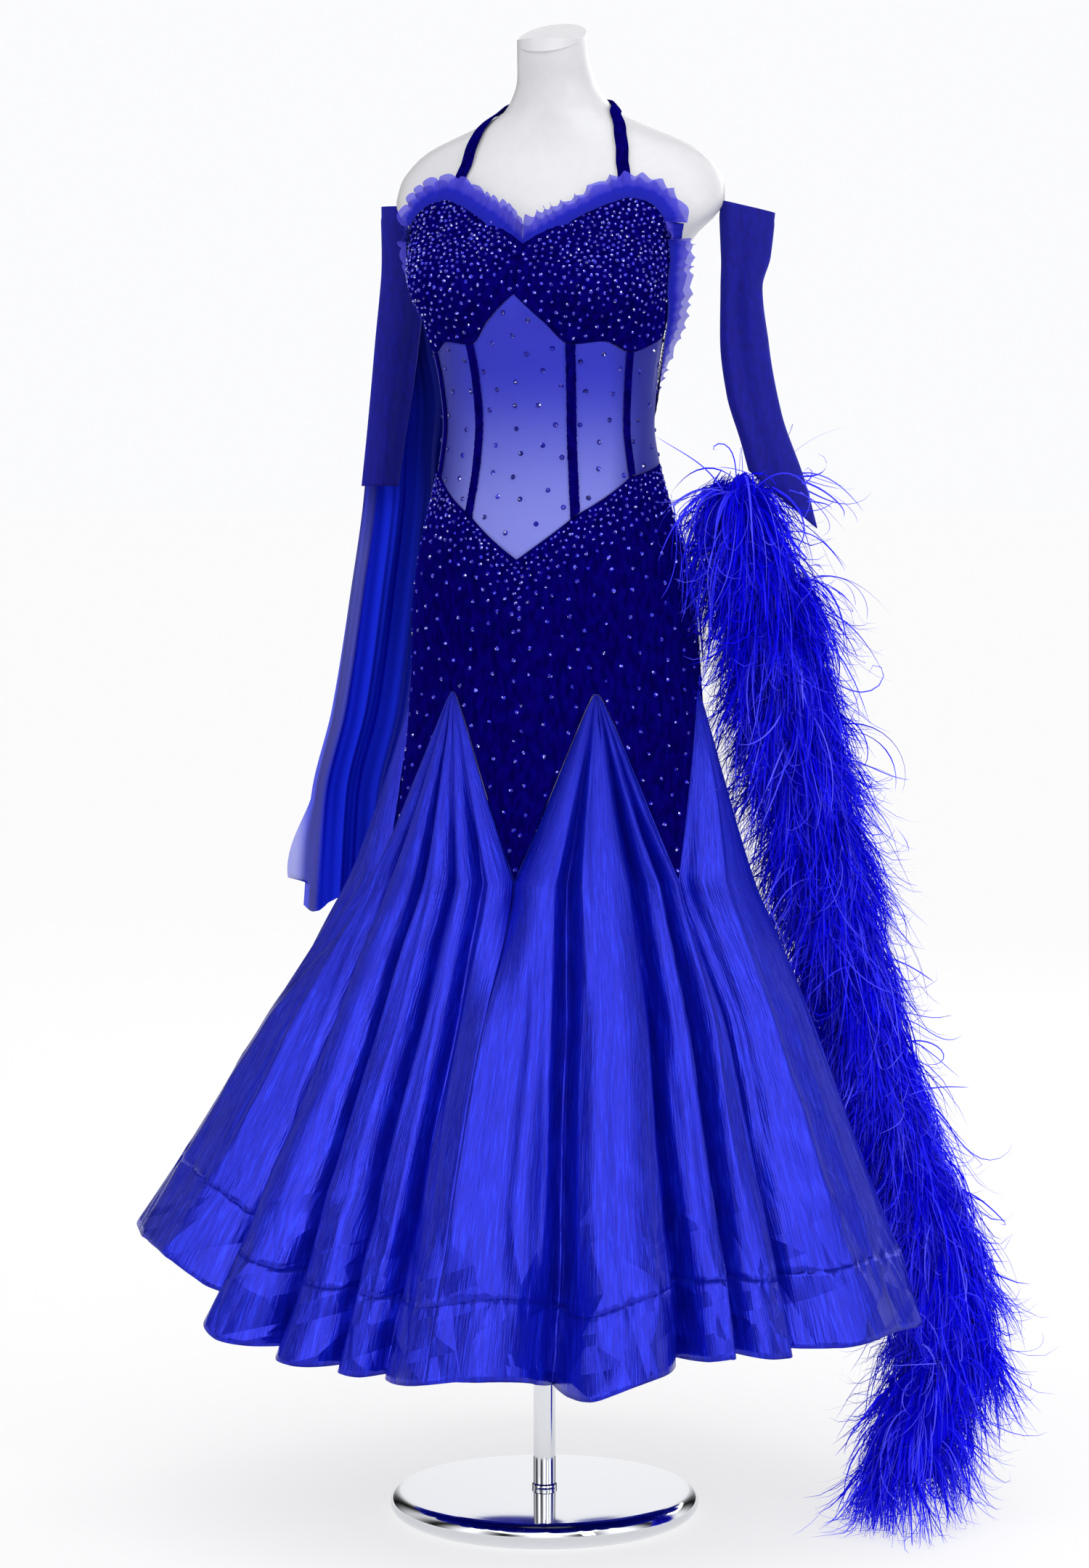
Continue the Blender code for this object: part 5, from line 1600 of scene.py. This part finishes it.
def make_plumes(random, plumes, trim):
    """Tufts tied along the boa, whose flues droop and curl all round it."""
    tufts = plumes.tufts
    share = random.uniform(0, 1, tufts) ** 1.08
    if plumes.name == "wisps":
        # Long loose flues stand out of the crown.
        share = np.where(random.uniform(0, 1, tufts) < CROWN_SHARE, 0.03 * share, share)
    z = between(BOA_ROWS[0][0] - 0.008, BOA_ROWS[-1][0] + 0.004, np.sort(share))
    centre = boa_centre(z)
    outward = unit(centre * np.array([1, 1, 0]))
    sideways = np.stack((-outward[:, 1], outward[:, 0], 0 * z), axis=-1)
    spoke_angle = random.uniform(-np.pi, np.pi, tufts)[:, None]
    spoke = outward * np.cos(spoke_angle) + sideways * np.sin(spoke_angle)
    thick = np.maximum(BOA_THICK(z), CORE_LEAST)
    root = centre + spoke * (thick * random.uniform(0.55, 1.0, tufts))[:, None]
    way = spoke * random.uniform(0.5, 1.2, tufts)[:, None]
    way = way + UPWARD * random.uniform(*plumes.rise, tufts)[:, None]
    way = way + sideways * random.normal(0, 0.25, tufts)[:, None]
    tuft_length = trim.flue_length * random.uniform(*plumes.reach, tufts)
    tuft_length = tuft_length * np.interp(z, (0.05, 0.34), (0.86, 1.0))
    tuft_curl = random.normal(0, 0.7, tufts)
    # Painted light: tufts low on the boa, which hang in shade, are lightened, and those near its top darkened
    # a little.
    tuft_tone_and_painted_light = random.normal(plumes.tone, 0.16, tufts) + np.interp(z, (0.3, 1.0), (0.12, -0.04))
    # A feather droops from its root, and its tips flick out or in together.
    tuft_axis = unit(np.cross(spoke, UPWARD) + random.normal(0, 0.9, (tufts, 3)))

    pick = np.repeat(np.arange(tufts), plumes.flues)
    total = len(pick)
    start = root[pick] + random.normal(0, ROOT_SCATTER, (total, 3))
    first = unit(way[pick]) + random.normal(0, 0.22, (total, 3))
    length = tuft_length[pick] * random.uniform(0.6, 1.1, total)
    sag = random.uniform(*plumes.sag, total)
    axis = unit(tuft_axis[pick] + random.normal(0, 0.35, (total, 3)))
    curl = plumes.curl * (tuft_curl[pick] + random.normal(0.25, 0.5, total))
    width = trim.flue_width * plumes.width * random.uniform(0.5, 1.25, total)
    tone = np.clip(np.clip(tuft_tone_and_painted_light, 0, 1)[pick] + random.normal(0, 0.12, total), 0, 1)
    paths = clear_of_skirt(flue_paths(start, first, length, sag, axis, curl, plumes.steps), FLUE_CLEARANCE)
    paths = np.clip(paths, np.array(SOLID_BOX[0]) - BOA_ROOM[0], np.array(SOLID_BOX[1]) + BOA_ROOM[1])
    facing = unit(random.normal(0, 1, (total, 3)) + outward[pick] * 1.2)
    lay_flues(f"boa_flues_{plumes.name}", paths, width, tone, facing)


def make_boa(trim):
    """A feather boa: a dense core, then a mass of flues, a looser fringe and a few wisps."""
    make_core()
    random = np.random.default_rng(41)
    mass = trim.tufts, trim.flues
    fringe = trim.tufts * 3 // 4, trim.flues // 2
    wisps = trim.tufts // 8, 3
    for plumes in (
        Plumes("mass", *mass, 5, (0.84, 1.26), (-1.2, 0.1), (1.8, 4.2), 3.2, 1.15, 0.34),
        Plumes("fringe", *fringe, 8, (1.00, 1.55), (-0.7, 0.4), (3.0, 6.0), 5.6, 0.80, 0.56),
        Plumes("wisps", *wisps, 14, (1.15, 1.75), (-0.4, 0.8), (1.0, 4.0), 7.6, 1.25, 0.74),
    ):
        make_plumes(random, plumes, trim)


# Stones.


def scattered(random, turns, heights, lie, pitch, tries):
    """Places on a surface no nearer each other than the pitch there asks."""
    turn, z = random.uniform(*turns, tries), random.uniform(*heights, tries)
    cell = 0.006
    taken = {}
    kept = []
    for n, (place, need) in enumerate(zip(lie(turn, z).tolist(), pitch(turn, z).tolist())):
        if need <= 0:
            continue
        reach = int(need / cell) + 1
        spans = [range(int(p // cell) - reach, int(p // cell) + reach + 1) for p in place]
        near = (taken[key] for key in product(*spans) if key in taken)
        if all(math.dist(other, place) >= need for other in near):
            taken[tuple(int(p // cell) for p in place)] = place
            kept.append(n)
    return turn[kept], z[kept]


def cup_pitch(turn, z):
    """Stones crowd the cups' tops and thin out towards the ribs."""
    foot, top = cup_foot_height(turn), edge_height(turn)
    pitch = np.interp(z - foot, *zip(*CUP_PITCHES))
    return np.where(((z - foot) / (top - foot) > 0.02) & (z < top - 0.0085) & (z > foot + 0.004), pitch, 0.0)


def hip_pitch(turn, z):
    """Stones crowd along the V line and thin out down the hips."""
    below = yoke_height(turn) - z
    front, back = (np.interp(below, *zip(*pitches)) for pitches in (HIP_PITCHES, BACK_PITCHES))
    pitch = between(front, back, share_of(np.abs(turn), *BACK_TURNS))
    return np.where((below > 0.0035) & (z > velvet_foot(turn) + 0.006), pitch, 0.0)


def stone_template():
    """A low cut stone: eight crown facets round a table."""
    bm = bmesh.new()
    bmesh.ops.create_cone(
        bm, cap_ends=True, cap_tris=False, segments=8, radius1=0.5, radius2=0.27, depth=0.30
    )
    bmesh.ops.translate(bm, verts=bm.verts, vec=(0.0, 0.0, 0.15))
    under = [face for face in bm.faces if face.calc_center_median().z < 0.01]
    bmesh.ops.delete(bm, geom=under, context="FACES")
    bmesh.ops.triangulate(bm, faces=[face for face in bm.faces if len(face.verts) > 4])
    return bm


def set_stones(name, places, lie, out, size, random, glow=0.84, painted_glint_chances=(0.86, 0.35)):
    """Sets a stone flat on a surface at each place, with glow, the top of its facets' painted light, and its
    chances of a painted glint.
    """
    turn, z = places
    number = len(turn)
    point = lie(turn, z, out)
    up = directions_on(lie, turn, z)
    spin = random.uniform(0, 2 * np.pi, number)[:, None]
    side = unit(np.cross(up, UPWARD))
    first = side * np.cos(spin) + np.cross(up, side) * np.sin(spin)
    second = np.cross(up, first)
    tilt = random.normal(0, 0.10, (number, 2))
    up = unit(up + first * tilt[:, :1] + second * tilt[:, 1:])
    made, local = copies(name, stone_template(), number, "stone")
    x, y, h = np.moveaxis(local * size[:, None, None], -1, 0)[..., None]
    points = point[:, None] + x * first[:, None] + y * second[:, None] + (h - STONE_SINK) * up[:, None]
    move_points(made.data, points.reshape(-1, 3))
    made.data.shade_flat()
    faces = len(made.data.polygons) // number
    # Painted reflections: each facet is painted a random brightness up to glow, and each stone a little
    # lighter or darker.
    light = random.uniform(0, glow, (number, faces)) + random.uniform(-0.12, 0.10, (number, 1))
    # Painted glint: most stones throw one lamp back, painted near white on whichever facet happens to meet
    # it.
    for chance in painted_glint_chances:
        lit = np.flatnonzero(random.uniform(0, 1, number) < chance)
        light[lit, random.integers(0, faces, len(lit))] = random.uniform(0.92, 1.0, len(lit))
    note(made.data, "facet", np.clip(light, 0, 1), "FACE")
    wears(made)


def make_stones(trim):
    random = np.random.default_rng(3)
    for side, name in SIDES:
        turns = sorted((side * 1.5, side * 95.5))
        places = scattered(random, turns, (1.24, 1.43), bodice, cup_pitch, 26000)
        size = trim.stone_size * random.uniform(0.80, 1.12, len(places[0]))
        set_stones(f"stones_cup_{name}", places, bodice, VELVET_WALL, size, random)
        turns = sorted((side * 0.3, side * 179.7))
        places = scattered(random, turns, (0.70, 1.135), hips, hip_pitch, 42000)
        size = trim.stone_size * random.uniform(0.86, 1.10, len(places[0]))
        size *= np.interp(yoke_height(places[0]) - places[1], (0.0, 0.02, 0.05), (0.78, 0.92, 1.10))
        set_stones(f"stones_hip_{name}", places, hips, VELVET_WALL, size, random)

    def mesh_pitch(turn, z):
        inside = (z < ribs_top(turn) - 0.007) & (z > yoke_height(turn) + 0.006)
        for bone in (FRONT_BONE_TURN, SIDE_BONE_TURN):
            inside &= np.abs(np.abs(turn) - bone) > BONE_CLEARANCE_TURN
        return np.where(inside, trim.mesh_stone_pitch, 0.0)

    places = scattered(random, (-178, 178), (1.04, 1.31), bodice, mesh_pitch, 9000)
    size = trim.mesh_stone_size * random.uniform(0.94, 1.06, len(places[0]))
    set_stones("stones_midriff", places, bodice, MESH_WALL, size, random, 0.44, (0.60,))


# Studio.


def make_floor(stage):
    """A pale floor that glows from below, so shadows on it are faint."""
    glow = {"Emission_Color": (1.0, 1.0, 1.0, 1.0), "Emission_Strength": 0.72}
    lit = Finish("studio floor, lit white acrylic", 0.9, 0.0, **glow)
    pale = mixed(BLACK, stage.floor, 0.25)
    lit.paint(lit.grain(0.6, detail=3.0), (0.3, mixed(pale, BLACK, 0.01)), (0.7, pale))
    bm = bmesh.new()
    bmesh.ops.create_circle(bm, cap_ends=True, segments=96, radius=FLOOR_RADIUS)
    link("studio_floor", mesh_of("studio_floor", bm), lit.owner)


def make_surroundings(stage):
    """Tall strip lamps all round the set with dark gaps between them, which only the gown sees."""
    bpy.context.scene.world = bpy.data.worlds.new("studio")
    world = Shading(bpy.context.scene.world)
    seen = world.add("ShaderNodeBackground", {"Color": rgba(SEEN_WHITE), "Strength": 1.0})
    way = world.parts(world.coordinates("Generated"))
    turn = world.maths("ARCTAN2", way["Y"], way["X"])
    wave = world.maths("SINE", world.maths("MULTIPLY_ADD", turn, STRIP_LAMPS, STRIP_START))
    power = world.maths("MULTIPLY_ADD", wave, STRIP_WAVE, STRIP_POWER)
    # Those in front burn brighter than those behind.
    near = world.maths("MULTIPLY_ADD", way["Y"], STRIP_FRONT, 1.0)
    near = world.maths("MULTIPLY_ADD", way["X"], STRIP_SIDE, near)
    power = world.maths("MULTIPLY", power, near)
    # A lit white sheet hangs behind the set.
    away = world.maths("ABSOLUTE", world.maths("SUBTRACT", turn, math.pi / 2 + stage.azimuth))
    power = world.maths("ADD", power, world.mapped(away, *SHEET_EDGE, SHEET_POWER, 0.0))
    lamps = world.add("ShaderNodeBackground", {"Color": rgba(LAMP_WHITE), "Strength": power})
    to_camera = world.add("ShaderNodeLightPath").outputs["Is Camera Ray"]
    sky = world.add("ShaderNodeMixShader", {0: to_camera, 1: lamps.outputs[0], 2: seen.outputs[0]})
    world.tree.links.new(sky.outputs[0], world.tree.nodes["World Output"].inputs["Surface"])


def make_lamps():
    sun = bpy.data.lights.new("sun", "SUN")
    sun.energy = 1.50
    sun.angle = math.radians(70)
    lamps = [(sun, (0.7, -2.4, 4.4), (0.0, 0.0, 0.8))]
    for name, place, aim_z, size, power in (
        ("key", (-2.6, -3.4, 2.2), 0.6, (0.9, 2.6), 9),
        ("fill", (3.4, -2.8, 1.6), 0.6, (0.7, 2.4), 26),
        ("back", (1.2, 3.4, 2.6), 0.9, (2.6, 1.6), 40),
    ):
        lamp = bpy.data.lights.new(name, "AREA")
        lamp.shape = "RECTANGLE"
        lamp.size, lamp.size_y = size
        lamp.energy = power
        lamps.append((lamp, place, (0.0, 0.0, aim_z)))
    for lamp, place, aim in lamps:
        made = bpy.data.objects.new(lamp.name, lamp)
        made.location = place
        made.rotation_euler = (Vector(aim) - Vector(place)).to_track_quat("-Z", "Y").to_euler()
        bpy.context.scene.collection.objects.link(made)


def make_camera(stage):
    camera = bpy.data.cameras.new("camera")
    camera.lens = stage.lens
    camera.sensor_width = 36.0
    made = bpy.data.objects.new("camera", camera)
    azimuth = stage.azimuth
    made.location = (stage.distance * math.sin(azimuth), -stage.distance * math.cos(azimuth), stage.height)
    made.rotation_euler = (math.pi / 2 - stage.pitch, 0.0, azimuth)
    bpy.context.scene.collection.objects.link(made)
    bpy.context.scene.camera = made
    bpy.context.scene.view_settings.view_transform = "Standard"


# Operators.


class GOWN_OT_stage(bpy.types.Operator):
    """Sets the pale floor, the soft lamps and the camera"""

    bl_idname = "gown.stage"
    bl_label = "Studio"

    def execute(self, context):
        stage = context.scene.gown_stage
        make_floor(stage)
        make_surroundings(stage)
        make_lamps()
        make_camera(stage)
        return {"FINISHED"}


class GOWN_OT_stand(bpy.types.Operator):
    """Turns the plated disc and pole"""

    bl_idname = "gown.stand"
    bl_label = "Stand"

    def execute(self, context):
        make_base()
        make_pole()
        return {"FINISHED"}


class GOWN_OT_form(bpy.types.Operator):
    """Lofts the white dress form"""

    bl_idname = "gown.form"
    bl_label = "Dress Form"

    def execute(self, context):
        make_form()
        return {"FINISHED"}


class GOWN_OT_bodice(bpy.types.Operator):
    """Cuts the velvet cups, the mesh midriff and its boning"""

    bl_idname = "gown.bodice"
    bl_label = "Bodice"

    def execute(self, context):
        make_cups()
        make_midriff()
        make_bones()
        return {"FINISHED"}


class GOWN_OT_skirt(bpy.types.Operator):
    """Cuts the velvet hips, the satin godets and their hem bands"""

    bl_idname = "gown.skirt"
    bl_label = "Skirt"

    def execute(self, context):
        make_hips()
        make_godets()
        return {"FINISHED"}


class GOWN_OT_trim(bpy.types.Operator):
    """Gathers the tulle ruffle and lays the halter straps"""

    bl_idname = "gown.trim"
    bl_label = "Ruffle and Straps"

    def execute(self, context):
        make_ruffle(context.scene.gown_trim)
        for side, name in SIDES:
            make_strap(side, name)
        return {"FINISHED"}


class GOWN_OT_sleeves(bpy.types.Operator):
    """Hangs the jersey sleeves and the chiffon float"""

    bl_idname = "gown.sleeves"
    bl_label = "Sleeves and Float"

    def execute(self, context):
        for sleeve in SLEEVES:
            make_sleeve(sleeve)
        make_float()
        return {"FINISHED"}


class GOWN_OT_boa(bpy.types.Operator):
    """Ties the feather boa to the left cuff"""

    bl_idname = "gown.boa"
    bl_label = "Feather Boa"

    def execute(self, context):
        make_boa(context.scene.gown_trim)
        return {"FINISHED"}


class GOWN_OT_stones(bpy.types.Operator):
    """Sets the stones on the cups, the midriff and the hips"""

    bl_idname = "gown.stones"
    bl_label = "Stones"

    def execute(self, context):
        make_stones(context.scene.gown_trim)
        return {"FINISHED"}


STEPS = (
    GOWN_OT_stage,
    GOWN_OT_stand,
    GOWN_OT_form,
    GOWN_OT_bodice,
    GOWN_OT_skirt,
    GOWN_OT_trim,
    GOWN_OT_sleeves,
    GOWN_OT_boa,
    GOWN_OT_stones,
)


class GOWN_PT_panel(bpy.types.Panel):
    """The gown's pieces, colours and sizes"""

    bl_idname = "GOWN_PT_panel"
    bl_label = "Ballroom Gown"
    bl_space_type = "VIEW_3D"
    bl_region_type = "UI"
    bl_category = "Gown"

    def draw(self, context):
        for group in (context.scene.gown_colours, context.scene.gown_trim, context.scene.gown_stage):
            box = self.layout.box()
            for key in group.bl_rna.properties.keys():
                if key not in ("rna_type", "name"):
                    box.prop(group, key)
        for step in STEPS:
            self.layout.operator(step.bl_idname)


CLASSES = (GownColours, GownTrim, GownStage, *STEPS, GOWN_PT_panel)


def register():
    for each in CLASSES:
        bpy.utils.register_class(each)
    bpy.types.Scene.gown_colours = PointerProperty(type=GownColours)
    bpy.types.Scene.gown_trim = PointerProperty(type=GownTrim)
    bpy.types.Scene.gown_stage = PointerProperty(type=GownStage)


def unregister():
    del bpy.types.Scene.gown_stage
    del bpy.types.Scene.gown_trim
    del bpy.types.Scene.gown_colours
    for each in reversed(CLASSES):
        bpy.utils.unregister_class(each)


def main():
    register()
    bpy.ops.gown.stage()
    bpy.ops.gown.stand()
    bpy.ops.gown.form()
    bpy.ops.gown.bodice()
    bpy.ops.gown.skirt()
    bpy.ops.gown.trim()
    bpy.ops.gown.sleeves()
    bpy.ops.gown.boa()
    bpy.ops.gown.stones()


if __name__ == "__main__":
    main()
